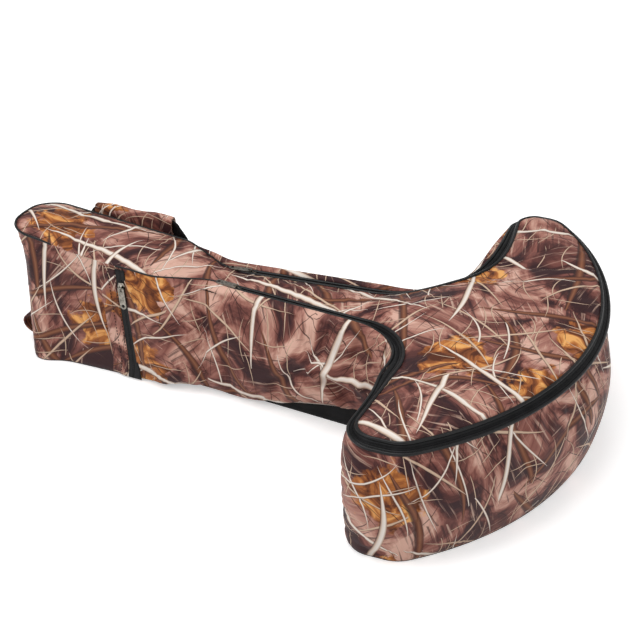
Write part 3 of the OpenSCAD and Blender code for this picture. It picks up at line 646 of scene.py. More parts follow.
nose_a = 4 * QUARTER - front_a
nose_y = NOSE_R * (1 + math.sin(nose_a)) - HEAD_W / 2
seam_butt = where(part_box("near_stem_panel")[0].x - BUTT_X, LENGTH, -1)[0]
seam_stem = nearest_station(flare_end, flare_y(flare_end))
seam_tip = nearest_station(wing_x, TIP_R - HEAD_W / 2)
seam_nose = nearest_station(nose_x + NOSE_R * math.cos(nose_a), nose_y)
near_seams = [seam_butt, seam_stem, seam_tip, seam_nose]
SEAMS = near_seams + [COUNT - s for s in reversed(near_seams)]
seam_gap = np.min([np.abs(ALONG[:COUNT] - ALONG[s]) for s in SEAMS], axis=0)
PINCH = SEAM_DIP * np.exp(-((seam_gap / SEAM_RUN) ** 2))
print("seams at", SEAMS)


# %% Wall section
WRINKLE_TALL, WRINKLE_SEED = 3.5, 3.7


def wrinkle(i, up, size, depth):
    """Soft folds that run up the wall, from one fixed noise field."""
    place = Vector((ALONG[i % COUNT] / size, up / (WRINKLE_TALL * size), WRINKLE_SEED))
    return depth * noise.noise(place)


# How far the butt wall and the far front wall stand in, at shares of their height.
BUTT_AT, BUTT_IN = [0, 0.45, 0.75, 0.9, 1], [26 * MM, 23 * MM, 20 * MM, 14 * MM, 7 * MM]
FAR_SIDE_AT, FAR_SIDE_IN = [0, 0.3, 0.6, 0.85, 1], [0, 3 * MM, 10 * MM, 15 * MM, 12 * MM]
# The cloth under the wall: how far in it lies and how high.
UNDER = [(12 * MM, 0.5 * MM), (6 * MM, 0.6 * MM), (2 * MM, 2 * MM)]
WALL_FOLD_W, WALL_FOLD_DEPTH = 45 * MM, 3.4 * MM
WALL_BELLY = (1.6, 0.75)


def belly(t, lean, power):
    """A swell that is 0 at both ends. A larger lean moves its peak up and a smaller power makes it fuller."""
    return math.sin(math.pi * t**lean) ** power if 0 < t < 1 else 0.0


def wall_out(i, t):
    """How far the wall stands out from the outline at a share t of its height."""
    t = min(1.0, max(0.0, t))
    out = (SWELL[i] + FAR_SWELL * FAR_STEM[i]) * belly(t, *WALL_BELLY) - TUCK[i] * (1 - t) ** 3
    out -= AT_BUTT[i] * np.interp(t, BUTT_AT, BUTT_IN)
    out -= FAR_SIDE[i] * np.interp(t, FAR_SIDE_AT, FAR_SIDE_IN)
    out += CORNER[i] * (1 - t) ** 2
    return out - PINCH[i] * math.sin(math.pi * t)


def wall_fold(i):
    """The rounded top of a wall, from its face to the rim."""
    pairs = []
    start = wall_out(i, 1.0)
    for t in shares(FOLD_STEPS)[1:]:
        a = QUARTER * t
        out = start * (1 - t) - OUTER_IN[i] * (1 - math.cos(a))
        pairs.append((out, RIM_AT[i] - EDGE_R * (1 - math.sin(a)) + CREST[i] * math.sin(math.pi * t)))
    return pairs


def wall_section(i):
    top = RIM_AT[i] - EDGE_R
    pairs = [(wall_out(i, 0.0) - inward, z) for inward, z in UNDER]
    slack = 0.3 + 0.7 * past_butt[i]
    for t in shares(WALL_ROWS):
        z = WALL_LOW + (top - WALL_LOW) * t
        fold = wrinkle(i, z, WALL_FOLD_W, WALL_FOLD_DEPTH) * math.sin(math.pi * t) * slack
        pairs.append((wall_out(i, t) + fold, z))
    return pairs + wall_fold(i)


# %% Wall panels
PANELS = ["near_stem", "near_shoulder", "near_tip", "front", "far_tip", "far_shoulder", "far_stem", "butt"]
WALL_COLUMNS = len(wall_section(0))
WALL_MAP = (11.3, 0.4)
WALL_CAP = {"near_stem": 0, "butt": 1.2 * MM, "near_shoulder": 5 * MM}
USUAL_CAP = 6 * MM
UNDER_POCKET = 668 * MM
walls = {}
for part, first, last in zip(PANELS, SEAMS, SEAMS[1:] + [COUNT + seam_butt]):
    # The near stem wall gets the black backing finish, and that black is what shows below the pocket's lower
    # edge.
    plain = part == "near_stem"
    stations = list(range(first, last + 1))
    name = f"{part}_backing" if plain else f"{part}_wall"
    wall = rim_loft(name, stations, wall_section, BACKING if plain else PRINT, shift=WALL_MAP)
    held = []
    for v in range(len(wall.data.vertices)):
        row, column = divmod(v, WALL_COLUMNS)
        sewn = row in (0, len(stations) - 1)
        sewn = sewn or column <= len(UNDER) or column >= WALL_COLUMNS - FOLD_STEPS
        if sewn or (part == "near_shoulder" and PLAN_X[stations[row]] < UNDER_POCKET):
            held.append(v)
    cap = WALL_CAP.get(part, USUAL_CAP)
    if cap:
        settle(wall, held, pressure=3.0, growth=0.02, cap=cap)
    thicken(wall, CLOTH_T)
    attach(wall, "bag", "black_cloth" if plain else "camo_cloth", f"{part}_panel", f"{part}_foam")
    walls[part] = wall
print("walls", len(walls))

# %% [markdown]
# ## Floor of the case
# The base is a flat panel of black backing cloth. Its outline is filled with triangles between the stations
# and a grid of points, which also makes the domed top below.

# %% Filled sheets and the base
GRID_CLEAR, ON_EDGE, MOST_OF_CUT = 0.6, 0.05 * MM, 0.99


def fill(name, inset, level, spacing, material, shift=(0, 0)):
    """A sheet inside the outline: inset(i) is its edge and level(x, y, gap) its height, gap from the edge."""
    edge = []
    for i in range(COUNT):
        d = inset(i)
        edge.append(Vector((RIM_X[i] - FACE[i, 0] * d, PLAN_Y[i] - FACE[i, 1] * d)))
    tree = kdtree.KDTree(len(edge))
    for i, p in enumerate(edge):
        tree.insert((p.x, p.y, 0), i)
    tree.balance()
    points = list(edge)
    for a in range(int(LENGTH / spacing) + 1):
        for b in range(-int(HEAD_W / 2 / spacing), int(HEAD_W / 2 / spacing) + 1):
            p = Vector((a * spacing + (b % 2) * spacing / 2, b * spacing))
            if tree.find((p.x, p.y, 0))[2] > spacing * GRID_CLEAR:
                points.append(p)
    loop = [(i, (i + 1) % COUNT) for i in range(COUNT)]
    flat, _, faces, *_ = geometry.delaunay_2d_cdt(points, loop, [], 1, 1e-7)
    solid, rim = [], []
    for p in flat:
        gap = tree.find((p.x, p.y, 0))[2]
        if gap < ON_EDGE:
            rim.append(len(solid))
        solid.append((BUTT_X + p.x, p.y, level(p.x, p.y, gap)))
    flat_map = [(p.x + shift[0], p.y + shift[1]) for p in flat]
    return mesh_object(name, solid, [tuple(f) for f in faces], flat_map, material), rim


def declare_sheet(piece, held, *under):
    """Reads the piece's flat map, which is in metres, and does nothing more with it."""
    mesh = piece.data
    flat = np.zeros(len(mesh.loops) * 2)
    mesh.uv_layers["print"].uv.foreach_get("vector", flat)


BASE_IN, BASE_T = 3 * MM, 0.8 * MM
base, _ = fill("base_cloth", lambda i: BASE_IN - wall_out(i, 0.0), lambda *_: BASE_T, 25 * MM, BACKING)
attach(thicken(base, BASE_T), "bag", "black_cloth", "base_panel", "base_foam")
print("base", len(base.data.polygons), "faces")

# %% [markdown]
# ## Top cloth
# The fixed rear top and the lid are one sheet on the real case, and the lid folds back along the line
# between the zip ends. So the sheet is one mesh, baked in place and put on neither body. It is blown up over
# its foam like the walls.

# %% Top cloth
REAR_DOME, LID_DOME, DOME_RUN = 3 * MM, 11 * MM, 30 * MM
DOME_X = (300 * MM, 480 * MM)
# Two ripples: their sizes along and across the case, a seed and a height.
RIPPLES = [(110 * MM, 70 * MM, 1.3, 2.2 * MM), (40 * MM, 35 * MM, 8.1, 0.7 * MM)]
RIPPLE_RUN = 25 * MM
TOP_MAP = (3.3, 1.7)


def ripple(x, y, along, across, seed, height):
    return height * noise.noise(Vector((x / along, y / across, seed)))


def top_surface(x, y, gap):
    rippled = sum(ripple(x, y, *shape) for shape in RIPPLES)
    dome = REAR_DOME + (LID_DOME - REAR_DOME) * ease(*DOME_X, x)
    level = top_level(x) + rim_lift(x, y)
    return level + dome * (1 - math.exp(-gap / DOME_RUN)) + rippled * min(1.0, gap / RIPPLE_RUN)


top, top_rim = fill("top_cloth", lambda i: INNER_IN[i], top_surface, 8 * MM, PRINT, shift=TOP_MAP)
settle(top, top_rim, pressure=2.5, growth=0.015, cap=8 * MM)
attach(thicken(top, CLOTH_T), "fold", "camo_cloth", "rear_top_panel", "lid_panel")
print("top", len(top.data.polygons), "faces")

# %% [markdown]
# ## Piping, bindings and zip
# Behind the zip a thin black piping closes the edge. On the near side the top cloth rolls over it for a
# stretch, and it comes out again above the pocket. Beside the zip two bindings cover the cut edges, and
# between them lie two tapes with a row of nylon coil each. The coil is modelled turn by turn, coarser than
# the real one so that it shows.

# %% Piping and bindings
PIPING_R, BINDING_R, LID_BINDING_R = 2.0 * MM, 2.7 * MM, 2.8 * MM
PIPING_UP, UP_FROM = 2 * MM, (190 * MM, 230 * MM)
ROLL_IN, ROLL_FROM, ROLL_TO = 5 * MM, (80 * MM, 105 * MM), (190 * MM, 206 * MM)
THINNER, THIN_FROM = 0.3, (55 * MM, 90 * MM)


def cord_section(inset, level, radius, sides=8):
    """A round cord that follows an edge. Its radius is one number, or one for each station."""
    radii = np.broadcast_to(radius, COUNT)
    turns = [2 * math.pi * k / sides for k in range(sides)]
    return lambda i: [(radii[i] * math.cos(a) - inset[i], radii[i] * math.sin(a) + level[i]) for a in turns]


zip_from = where(SLIT_X - SLIT_RUN, LENGTH, -1)[0]
zip_walk = range(zip_from, COUNT - zip_from + 1)
rear_walk = range(COUNT - zip_from, COUNT + zip_from + 1)
near_side = FACE[:, 1] < 0
raised = PIPING_UP * ease(*UP_FROM, PLAN_X) * near_side
under = ROLL_IN * ease(*ROLL_FROM, PLAN_X) * (1 - ease(*ROLL_TO, PLAN_X)) * near_side
piping_in, piping_z = OUTER_IN + under, RIM_AT + raised - under
piping_r = PIPING_R * (1 - THINNER * ease(*THIN_FROM, PLAN_X) * near_side)
for name, stops, inset, level, radius, body, node in (
    ("rear_piping_cord", rear_walk, piping_in, piping_z, piping_r, "bag", "rear_piping"),
    ("rim_binding_cord", zip_walk, OUTER_IN, RIM_AT, BINDING_R, "bag", "rim_binding"),
    ("lid_binding_cord", zip_walk, INNER_IN, TOP, LID_BINDING_R, "fold", "lid_binding"),
):
    cord = rim_loft(name, stops, cord_section(inset, level, radius), BINDING, ring=True)
    attach(cord, body, "binding", node)
    print(name, len(stops), "stations")

# %% Zip tapes
TAPE_DROP, TAPE_CROWN, TAPE_T = 1.3 * MM, 1.1 * MM, 0.8 * MM
TAPE_STEPS = 6


def zip_point(i, share):
    """A point across the zip, from 0 at the rim to 1 at the lid."""
    inset = OUTER_IN[i] + (INNER_IN[i] - OUTER_IN[i]) * share
    return -inset, RIM_AT[i] + (TOP[i] - RIM_AT[i]) * share - TAPE_DROP


def zip_tape(name, first, last):
    def section(i):
        pairs = []
        for t in shares(TAPE_STEPS):
            out, z = zip_point(i, first + (last - first) * t)
            pairs.append((out, z + TAPE_CROWN * math.sin(math.pi * t)))
        return pairs
    return thicken(rim_loft(name, zip_walk, section, TAPE), TAPE_T)


attach(zip_tape("outer_zip_tape", 0.0, 0.45), "bag", "zip_tape", "lower_stringer")
inner_tape = zip_tape("inner_zip_tape", 0.55, 1.0)
attach(inner_tape, "fold", "zip_tape", "upper_stringer", "near_zip_end", "far_zip_end")
print("zip tapes", len(zip_walk), "stations")

# %% Zip coil
COIL_H, COIL_SUNK = 1.1 * MM, 0.5 * MM
STEPS_PER_STATION = 4


def coil_row(name, first, last):
    """One row of coil: between two stations the strip rises and falls, as the turns do."""
    rows = []
    for i, j in zip(zip_walk, zip_walk[1:]):
        for m in range(STEPS_PER_STATION):
            t = m / STEPS_PER_STATION
            height = COIL_H * (0.55 + 0.45 * (m % 2))
            row = []
            for share, lift in ((first, -COIL_SUNK), (first, height), (last, height), (last, -COIL_SUNK)):
                a = Vector(rim_point(i, *zip_point(i, share)))
                p = a.lerp(Vector(rim_point(j, *zip_point(j, share))), t)
                row.append(((p.x, p.y, p.z + lift), (ALONG[i] + t * STEP, lift)))
            rows.append(row)
    return join_rows(name, rows, COIL, ring=True)


attach(coil_row("outer_zip_coil", 0.43, 0.495), "bag", "zip_tape")
attach(coil_row("inner_zip_coil", 0.505, 0.57), "fold", "zip_tape")
print("zip", round(ALONG[-1] - 2 * ALONG[zip_from], 3), "m")

# %% [markdown]
# ## Linings
# Inside, one tub of smooth nylon covers the foam of the floor and the walls, and a second sheet covers the
# foam of the top. They show when the lid stands open.

# %% Linings
LINING_T, LINING_ROWS = 0.6 * MM, 12
LINING_IN, BUTT_LINING_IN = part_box("body_lining")[0].x - BUTT_X, 24 * MM
FLOOR_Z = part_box("body_lining")[0].z + 0.8 * MM
CEILING_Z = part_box("lid_lining")[0].z
# The foot of the tub, where it turns from the floor to the wall: how far in it lies and how high.
TUB_FOOT, TUB_LOW = [(14 * MM, 0.0), (6 * MM, 1 * MM)], FLOOR_Z + 6 * MM
TUB_DROP, TUB_PUFF, TUB_FOLD, TUB_START = TAPE_DROP + 1.2 * MM, 1.5 * MM, (60 * MM, 1.2 * MM), 40
FLOOR_IN, CEILING_UNDER = 13 * MM, 3 * MM
FLOOR_RIPPLE, CEILING_RIPPLE = (60 * MM, 60 * MM, 5.0, 0.8 * MM), (70 * MM, 60 * MM, 2.0, 1.2 * MM)
CEILING_LIFT, LIFT_RUN, CEILING_RUN = RIM_Z - 3.5 * MM - CEILING_Z, 9 * MM, 20 * MM


def lining_in(i):
    return LINING_IN + BUTT_LINING_IN * AT_BUTT[i]


def lining_section(i):
    inset, top = lining_in(i), RIM_AT[i] - TUB_DROP
    pairs = [(-inset - inward, FLOOR_Z + up) for inward, up in TUB_FOOT]
    for t in shares(LINING_ROWS):
        z = TUB_LOW + (top - TUB_LOW) * t
        puff = (TUB_PUFF + wrinkle(i + TUB_START, z, *TUB_FOLD)) * math.sin(math.pi * t)
        pairs.append((-inset - puff, z))
    return pairs


def floor_level(x, y, gap):
    return FLOOR_Z + ripple(x, y, *FLOOR_RIPPLE)


def ceiling(x, y, gap):
    lift = CEILING_LIFT * math.exp(-((gap / LIFT_RUN) ** 2))
    level = CEILING_Z + top_level(x) - RIM_Z + rim_lift(x, y)
    return level + lift + ripple(x, y, *CEILING_RIPPLE) * min(1.0, gap / CEILING_RUN)


def ceiling_in(i):
    return max(lining_in(i), INNER_IN[i] - CEILING_UNDER)


tub = rim_loft("tub_lining", range(0, COUNT + 1), lining_section, LINING)
declare_sheet(tub, "stretched")
attach(thicken(tub, LINING_T, 1), "bag", "lining", "body_lining")
floor_lining, _ = fill("floor_lining", lambda i: lining_in(i) + FLOOR_IN, floor_level, 16 * MM, LINING)
attach(thicken(floor_lining, LINING_T), "bag", "lining")
top_lining, _ = fill("top_lining", ceiling_in, ceiling, 12 * MM, LINING)
thicken(top_lining, LINING_T, 1)
attach(top_lining, "fold", "lining", "lid_lining", "rear_top_lining", "lid_foam", "rear_top_foam")

# %% [markdown]
# ## Side pocket
# The pocket is a loose panel on the near wall of the stem. Its rear edge follows a zip that leans towards the
# head, its top edge goes up to the piping, and it hangs out most near its lower edge. That edge climbs
# towards the head, and under it the near stem wall has the black backing finish. The simulation alone leaves
# the slack front too smooth, so its sharper folds are listed and the simulation then softens them.

# %% Pocket zip line
stringer_low, stringer_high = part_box("pocket_rear_stringer")
ZIP_Y = (stringer_low.y + stringer_high.y) / 2
POCKET_X, POCKET_TOP = 209.5 * MM, 193.785 * MM
POCKET_LEAN = math.radians(5.2)
HALF_TAPE = 7.5 * MM
FOOT_BACK, FOOT_BEND_Z = 5 * MM, 34 * MM


def pocket_zip_x(z):
    """Where the pocket zip stands at a height, from the butt end. Its foot bends back a little."""
    back = FOOT_BACK * (1 - ease(0, FOOT_BEND_Z, z))
    return POCKET_X + math.tan(POCKET_LEAN) * (POCKET_TOP - z) - back


print("pocket zip from", round(pocket_zip_x(POCKET_TOP), 3), "to", round(pocket_zip_x(0.0), 3))

# %% Folds of the pocket
# Folds where the slack front of the pocket bunches up: two ends, as millimetres from the butt end and height,
# how far the fold stands out, or in where that is negative, and its width.
POCKET_FOLDS = [
    ((546, 108), (631, 98), 10, 9),
    ((543, 106), (586, 54), 9, 8),
    ((508, 126), (524, 118), 8, 13),
    ((566, 84), (604, 74), -9, 11),
    ((478, 62), (524, 92), -7, 11),
    ((566, 172), (560, 144), -5, 7),
    ((590, 172), (588, 140), -5, 7),
    ((616, 172), (612, 138), -5, 7),
    ((590, 46), (594, 40), 8, 7),
]


def fold_relief(x, z):
    place = Vector((x, z)) / MM
    relief = 0.0
    for first, last, height, width in POCKET_FOLDS:
        a, b = Vector(first), Vector(last)
        share = geometry.intersect_point_line(place, a, b)[1]
        gap = (place - a.lerp(b, min(1.0, max(0.0, share)))).length
        relief += height * math.exp(-((gap / width) ** 2))
    return relief * MM


# %% Pocket panel
POCKET_END = 664 * MM
POCKET_OUT, POCKET_GAP, POCKET_LIP = 19 * MM, 2.4 * MM, 2.6 * MM
POCKET_LOW, POCKET_CLIMB, CLIMB_AT = 4 * MM, 36 * MM, (0.42, 0.9)
POCKET_ROWS, POCKET_BELLY, POCKET_MAP = 34, (0.6, 0.7), (6.4, 0.9)
# Shares of its length by which the pocket's slack, lip and wrinkles have come or gone, and how steeply they
# and the folds start at its edges.
LOOSE_BY, LIP_BY, WRINKLED_BY, EDGE_RISE, FOOT_RISE = 0.16, 0.12, (0.03, 0.2), 8, 6
POCKET_WRINKLES = [(17, 38 * MM, 3.0 * MM), (90, 16 * MM, 0.8 * MM)]
pocket_walk = where(POCKET_X + HALF_TAPE, POCKET_END, -1)
pocket_run = ALONG[pocket_walk[-1]] - ALONG[pocket_walk[0]]


def pocket_slide(s, z):
    """Slides the rear edge to the leaning zip, less and less towards the head. s is a share of the length."""
    return (pocket_zip_x(z) + HALF_TAPE - PLAN_X[pocket_walk[0]]) * (1 - ease(0.0, 0.3, s))


def pocket_section(i):
    s = (ALONG[i] - ALONG[pocket_walk[0]]) / pocket_run
    low = POCKET_LOW + POCKET_CLIMB * ease(*CLIMB_AT, s)
    top = RIM_AT[i] - EDGE_R
    loose = ease(0.0, LOOSE_BY, s) * (1 - s**5)
    lip = POCKET_LIP * (1 - ease(0.0, LIP_BY, s))
    pairs = []
    for t in shares(POCKET_ROWS):
        z = low + (top - low) * t
        near_top = min(1.0, EDGE_RISE * (1 - t))
        out = wall_out(i, (z - WALL_LOW) / (top - WALL_LOW)) + POCKET_GAP
        out += lip * min(1.0, EDGE_RISE * t) * near_top + POCKET_OUT * belly(t, *POCKET_BELLY) * loose
        fold = sum(wrinkle(i + start, z, size, depth) for start, size, depth in POCKET_WRINKLES)
        out += fold * math.sin(math.pi * t) * ease(*WRINKLED_BY, s)
        out += fold_relief(PLAN_X[i], z) * min(1.0, FOOT_RISE * t) * near_top
        pairs.append((out, z, pocket_slide(s, z)))
    for t, (out, z) in zip(shares(FOLD_STEPS)[1:], wall_fold(i)):
        pairs.append((out + POCKET_GAP * (1 - t), z + 2.0 * MM * t, pocket_slide(s, z)))
    return pairs


pocket = rim_loft("pocket_cloth", pocket_walk, pocket_section, PRINT, shift=POCKET_MAP)
pocket_columns = POCKET_ROWS + 1 + FOLD_STEPS
pocket_held = []
for v in range(len(pocket.data.vertices)):
    row, column = divmod(v, pocket_columns)
    if row < 2 or row > len(pocket_walk) - 3 or column < 1 or column > POCKET_ROWS:
        pocket_held.append(v)
settle(pocket, pocket_held, pressure=2.0, growth=0.03, cap=USUAL_CAP)
declare_sheet(pocket, "stretched", "near_stem_backing")
attach(thicken(pocket, CLOTH_T), "bag", "camo_cloth", "pocket_panel")

# %% [markdown]
# ## Pocket zip, hem and stitches
# The pocket zip is a narrow black band whose foot widens to a corner. Behind it the butt wall has a hem with
# a double row of stitches. A stitch is a tiny spindle that lies on the hem, and each row is one piece.


# %% Pocket zip and hem
def skin_tree(piece):
    mesh = piece.data
    points = [v.co.copy() for v in mesh.vertices]
    return bvhtree.BVHTree.FromPolygons(points, [tuple(p.vertices) for p in mesh.polygons])


SKINS = [skin_tree(walls["butt"]), skin_tree(walls["near_stem"])]


def near_skin(x, z):
    """The near face of the wall at a place, looked for from outside."""
    hits = [skin.ray_cast(Vector((BUTT_X + x, -1.0, z)), Vector((0, 1, 0)))[0] for skin in SKINS]
    return min([hit.y for hit in hits if hit], default=-BUTT_W / 2)


BAND_ROWS = 44
BAND_LOW, BAND_HIGH = 3 * MM, top_level(POCKET_X) - 2.5 * MM
TAPE_GAP, TAPE_W, TAPE_SLOPE = 0.5 * MM, HALF_TAPE + 1.5 * MM, 0.6 * MM
FOOT_OUT, FOOT_Z = 7 * MM, 40 * MM
HEM_W, HEM_PROUD = 30 * MM, 0.2 * MM


def band(name, columns, place, material, thickness):
    """An upright strip beside the pocket zip: place(share, z) gives x from the butt end and y."""
    rows = []
    for t in shares(BAND_ROWS):
        z = BAND_LOW + (BAND_HIGH - BAND_LOW) * t
        places = [place(share, z) for share in shares(columns - 1)]
        rows.append([((BUTT_X + x, y, z), (x, z)) for x, y in places])
    return thicken(join_rows(name, rows, material), thickness, 0)


def rear_tape_place(share, z):
    return pocket_zip_x(z) - TAPE_GAP - TAPE_W * share, ZIP_Y + TAPE_SLOPE * share


def front_tape_place(share, z):
    foot = FOOT_OUT * (1 - ease(0, FOOT_Z, z))
    return pocket_zip_x(z) + TAPE_GAP + (TAPE_W + foot) * share, ZIP_Y - TAPE_SLOPE * share


def hem_place(share, z):
    x = pocket_zip_x(z) - HALF_TAPE - HEM_W * share
    face = near_skin(x, z) - HEM_PROUD
    at_zip = ZIP_Y + 0.1 * MM
    return x, min(at_zip + (face - at_zip) * ease(0.0, 1.0, share), face)


for side, place in (("rear", rear_tape_place), ("front", front_tape_place)):
    tape = band(f"pocket_{side}_tape", 4, place, TAPE, TAPE_T)
    attach(tape, "bag", "zip_tape", f"pocket_{side}_stringer")
attach(band("pocket_hem", 12, hem_place, PRINT, CLOTH_T), "bag", "camo_cloth")

# %% Pocket coil
POCKET_TURNS = 110
POCKET_COIL_H, POCKET_COIL_SUNK = 1.0 * MM, 0.4 * MM
COIL_FROM, COIL_TO = 0.2 * MM, 1.9 * MM


def pocket_coil(name, side):
    rows = []
    for k in range(POCKET_TURNS):
        z = BAND_LOW + (BAND_HIGH - BAND_LOW) * k / (POCKET_TURNS - 1)
        middle = pocket_zip_x(z)
        high, low = POCKET_COIL_H * (0.5 + 0.5 * (k % 2)), -POCKET_COIL_SUNK
        row = []
        for across, lift in ((COIL_FROM, low), (COIL_FROM, high), (COIL_TO, high), (COIL_TO, low)):
            x = middle + side * across
            row.append(((BUTT_X + x, ZIP_Y - lift, z), (x, z)))
        rows.append(row)
    return join_rows(name, rows, COIL, ring=True)


for name, side in (("pocket_rear_coil", -1), ("pocket_front_coil", 1)):
    attach(pocket_coil(name, side), "bag", "zip_tape")
print("pocket zip", round(BAND_HIGH - BAND_LOW, 3), "m")


# %% Stitches
STITCH, STITCH_GAP, STITCH_R = 3.6 * MM, 2.0 * MM, 0.8 * MM
STITCH_LOW, STITCH_HIGH, STITCH_OUT = BAND_LOW + 8 * MM, BAND_HIGH - 4 * MM, 0.75 * MM
STITCH_SIDES = 6
# A spindle's rings: where they are along it, and how thick it is there.
SPINDLE = [(0.2, 0.8), (0.5, 1.0), (0.8, 0.8)]


def stitch_row(name, ends):
    """Spindles between pairs of points. Each stands half out of the cloth."""
    points, faces = [], []
    for a, b in ends:
        run = (b - a).normalized()
        side = run.cross(Vector((0, 1, 0))).normalized()
        up = side.cross(run)
        first = len(points)
        points.append(a)
        for share, swell in SPINDLE:
            for k in range(STITCH_SIDES):
                turn = 2 * math.pi * k / STITCH_SIDES
                around = side * math.cos(turn) + up * math.sin(turn)
                points.append(a.lerp(b, share) + around * STITCH_R * swell)
        points.append(b)
        rings = [first + 1 + r * STITCH_SIDES for r in range(len(SPINDLE))]
        for k in range(STITCH_SIDES):
            m = (k + 1) % STITCH_SIDES
            faces.append((first, rings[0] + m, rings[0] + k))
            faces.append((rings[-1] + k, rings[-1] + m, len(points) - 1))
            for r, after in zip(rings, rings[1:]):
                faces.append((r + k, r + m, after + m, after + k))
    return mesh_object(name, points, faces, [(p.x, p.z) for p in points], THREAD)


def hem_stitches(behind):
    ends = []
    z = STITCH_LOW
    while z + STITCH < STITCH_HIGH:
        places = [(*hem_place((behind - HALF_TAPE) / HEM_W, level), level) for level in (z, z + STITCH)]
        ends.append([Vector((BUTT_X + x, y - STITCH_OUT, level)) for x, y, level in places])
        z += STITCH + STITCH_GAP
    return ends


for name, behind in (("hem_stitches_front", 9 * MM), ("hem_stitches_rear", 21 * MM)):
    ends = hem_stitches(behind)
    attach(stitch_row(name, ends), "bag", "camo_cloth")
    print(name, len(ends))

# %% [markdown]
# ## Handle
# Black webbing runs from ring to ring in a flat arch, and a padded sleeve of printed cloth is wrapped round
# its middle, with a flap that overlaps. The sleeve's ends are open, so the webbing shows inside them. A tab
# of webbing goes round the lower bar of each ring and is sewn to the wall.


# %% Webbing strips
def strip(name, path, across, width, thickness):
    """A strap of webbing: path is its middle line and across the direction of its width at each point."""
    rows = []
    run = 0.0
    for n, (middle, side) in enumerate(zip(path, across)):
        run += (middle - path[n - 1]).length if n else 0.0
        offsets = [width * share for share in (-0.5, -0.25, 0.0, 0.25, 0.5)]
        rows.append([(middle + side * w, (run, w)) for w in offsets])
    return thicken(join_rows(name, rows, WEBBING), thickness, 0)


def smooth_path(corners, steps=8):
    """Catmull-Rom points through given corners."""
    ends = [corners[0] * 2 - corners[1]] + corners + [corners[-1] * 2 - corners[-2]]
    path = []
    for n in range(1, len(ends) - 2):
        p0, p1, p2, p3 = ends[n - 1 : n + 3]
        for k in range(steps):
            t = k / steps
            middle = p1 * 2 + (p2 - p0) * t + (p0 * 2 - p1 * 5 + p2 * 4 - p3) * t**2
            path.append((middle + (p1 * 3 - p0 - p2 * 3 + p3) * t**3) / 2)
    return path + [corners[-1]]


swing = Vector(JOINT_AT["handle_swing"])
sleeve_low, sleeve_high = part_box("handle_sleeve")
sleeve_mid = (sleeve_low + sleeve_high) / 2
foot_x = (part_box("front_handle_ring")[0].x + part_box("front_handle_ring")[1].x) / 2 - swing.x
# Half of the arch: along the case, and millimetres above the rings.
half = [(-foot_x, 3), (-foot_x, 12), (-foot_x + 3 * MM, 24), (-foot_x + 15 * MM, 40)]
half += [(-66 * MM, 47), (-40 * MM, 48)]
corners = [(x, up * MM) for x, up in half] + [(-x, up * MM) for x, up in reversed(half)]
arch = smooth_path([swing + Vector((x, 0, up)) for x, up in corners])
leans = []
for n, p in enumerate(arch):
    run = (arch[min(n + 1, len(arch) - 1)] - arch[max(n - 1, 0)]).normalized()
    leans.append(Vector((run.z, 0, -run.x)))
WEB_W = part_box("rear_handle_tab")[1].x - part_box("rear_handle_tab")[0].x
web = strip("handle_web_strap", arch, leans, WEB_W * 0.98, 1.9 * MM)
attach(web, "handle", "webbing", "handle_webbing")

# %% Eyes and tabs
EYE_R, BAR_R, EYE_T = 3 * MM, 2 * MM, 1.4 * MM
EYE_DROP, SIDEWAYS = Vector((0, 0, 0.1 * MM)), Vector((1, 0, 0))


def round_bar(middle, turns):
    """Points round a bar of a ring, at angles in degrees from the direction away from the wall."""
    turns = [math.radians(a) for a in turns]
    return [middle + EYE_R * Vector((0, math.cos(a), math.sin(a))) for a in turns]


for side, sign in (("rear", -1), ("front", 1)):
    middle = swing + Vector((sign * foot_x, 0, 0))
    eye = round_bar(middle - EYE_DROP, range(340, 19, -20))
    eye_strap = strip(f"{side}_web_eye", eye, [SIDEWAYS] * len(eye), WEB_W * 0.97, EYE_T)
    attach(eye_strap, "handle", "webbing")
    ring_low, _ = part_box(f"{side}_handle_ring")
    tab_low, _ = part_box(f"{side}_handle_tab")
    bar = Vector((middle.x, ring_low.y + BAR_R, ring_low.z + BAR_R))
    wall_y, foot_z = tab_low.y + 0.9 * MM, tab_low.z
    # The tab goes up the wall, round the bar and down again outside itself.
    going = [(wall_y, foot_z), (wall_y, foot_z + 16 * MM), (wall_y + 0.2 * MM, bar.z - 5 * MM)]
    coming = [(wall_y + 2.2 * MM, bar.z - 8 * MM)]
    coming += [(wall_y + 1.7 * MM, foot_z + up) for up in (16 * MM, 2 * MM)]
    path = [Vector((bar.x, *p)) for p in going]
    path += round_bar(bar, range(180, -91, -18))
    path += [Vector((bar.x, *p)) for p in coming]
    tab = strip(f"{side}_tab_strap", path, [SIDEWAYS] * len(path), WEB_W, EYE_T)
    attach(tab, "bag", "webbing", f"{side}_handle_tab")
print("handle", round(2 * foot_x, 3), "m between its rings")

# %% Handle sleeve
SLEEVE_WALL, FLAP_T = 3.2 * MM, 1.6 * MM
FLAP_FROM, FLAP_TO = 0.30, 0.62
SLEEVE_SIDES, SLEEVE_STOPS = 48, 44
SLEEVE_MAP, SLEEVE_PITCH = 7.7, 2.4 * MM
SLEEVE_PINCH, SLEEVE_SAG, SLEEVE_RIPPLE = 0.08, 1.2 * MM, 1.4 * MM
CREASE_L, CREASE_W, CREASE_H = 22 * MM, 20 * MM, 14 * MM
ROUND_Y, ROUND_Z = 0.75, 0.7
sleeve_half = (sleeve_high - sleeve_low) / 2


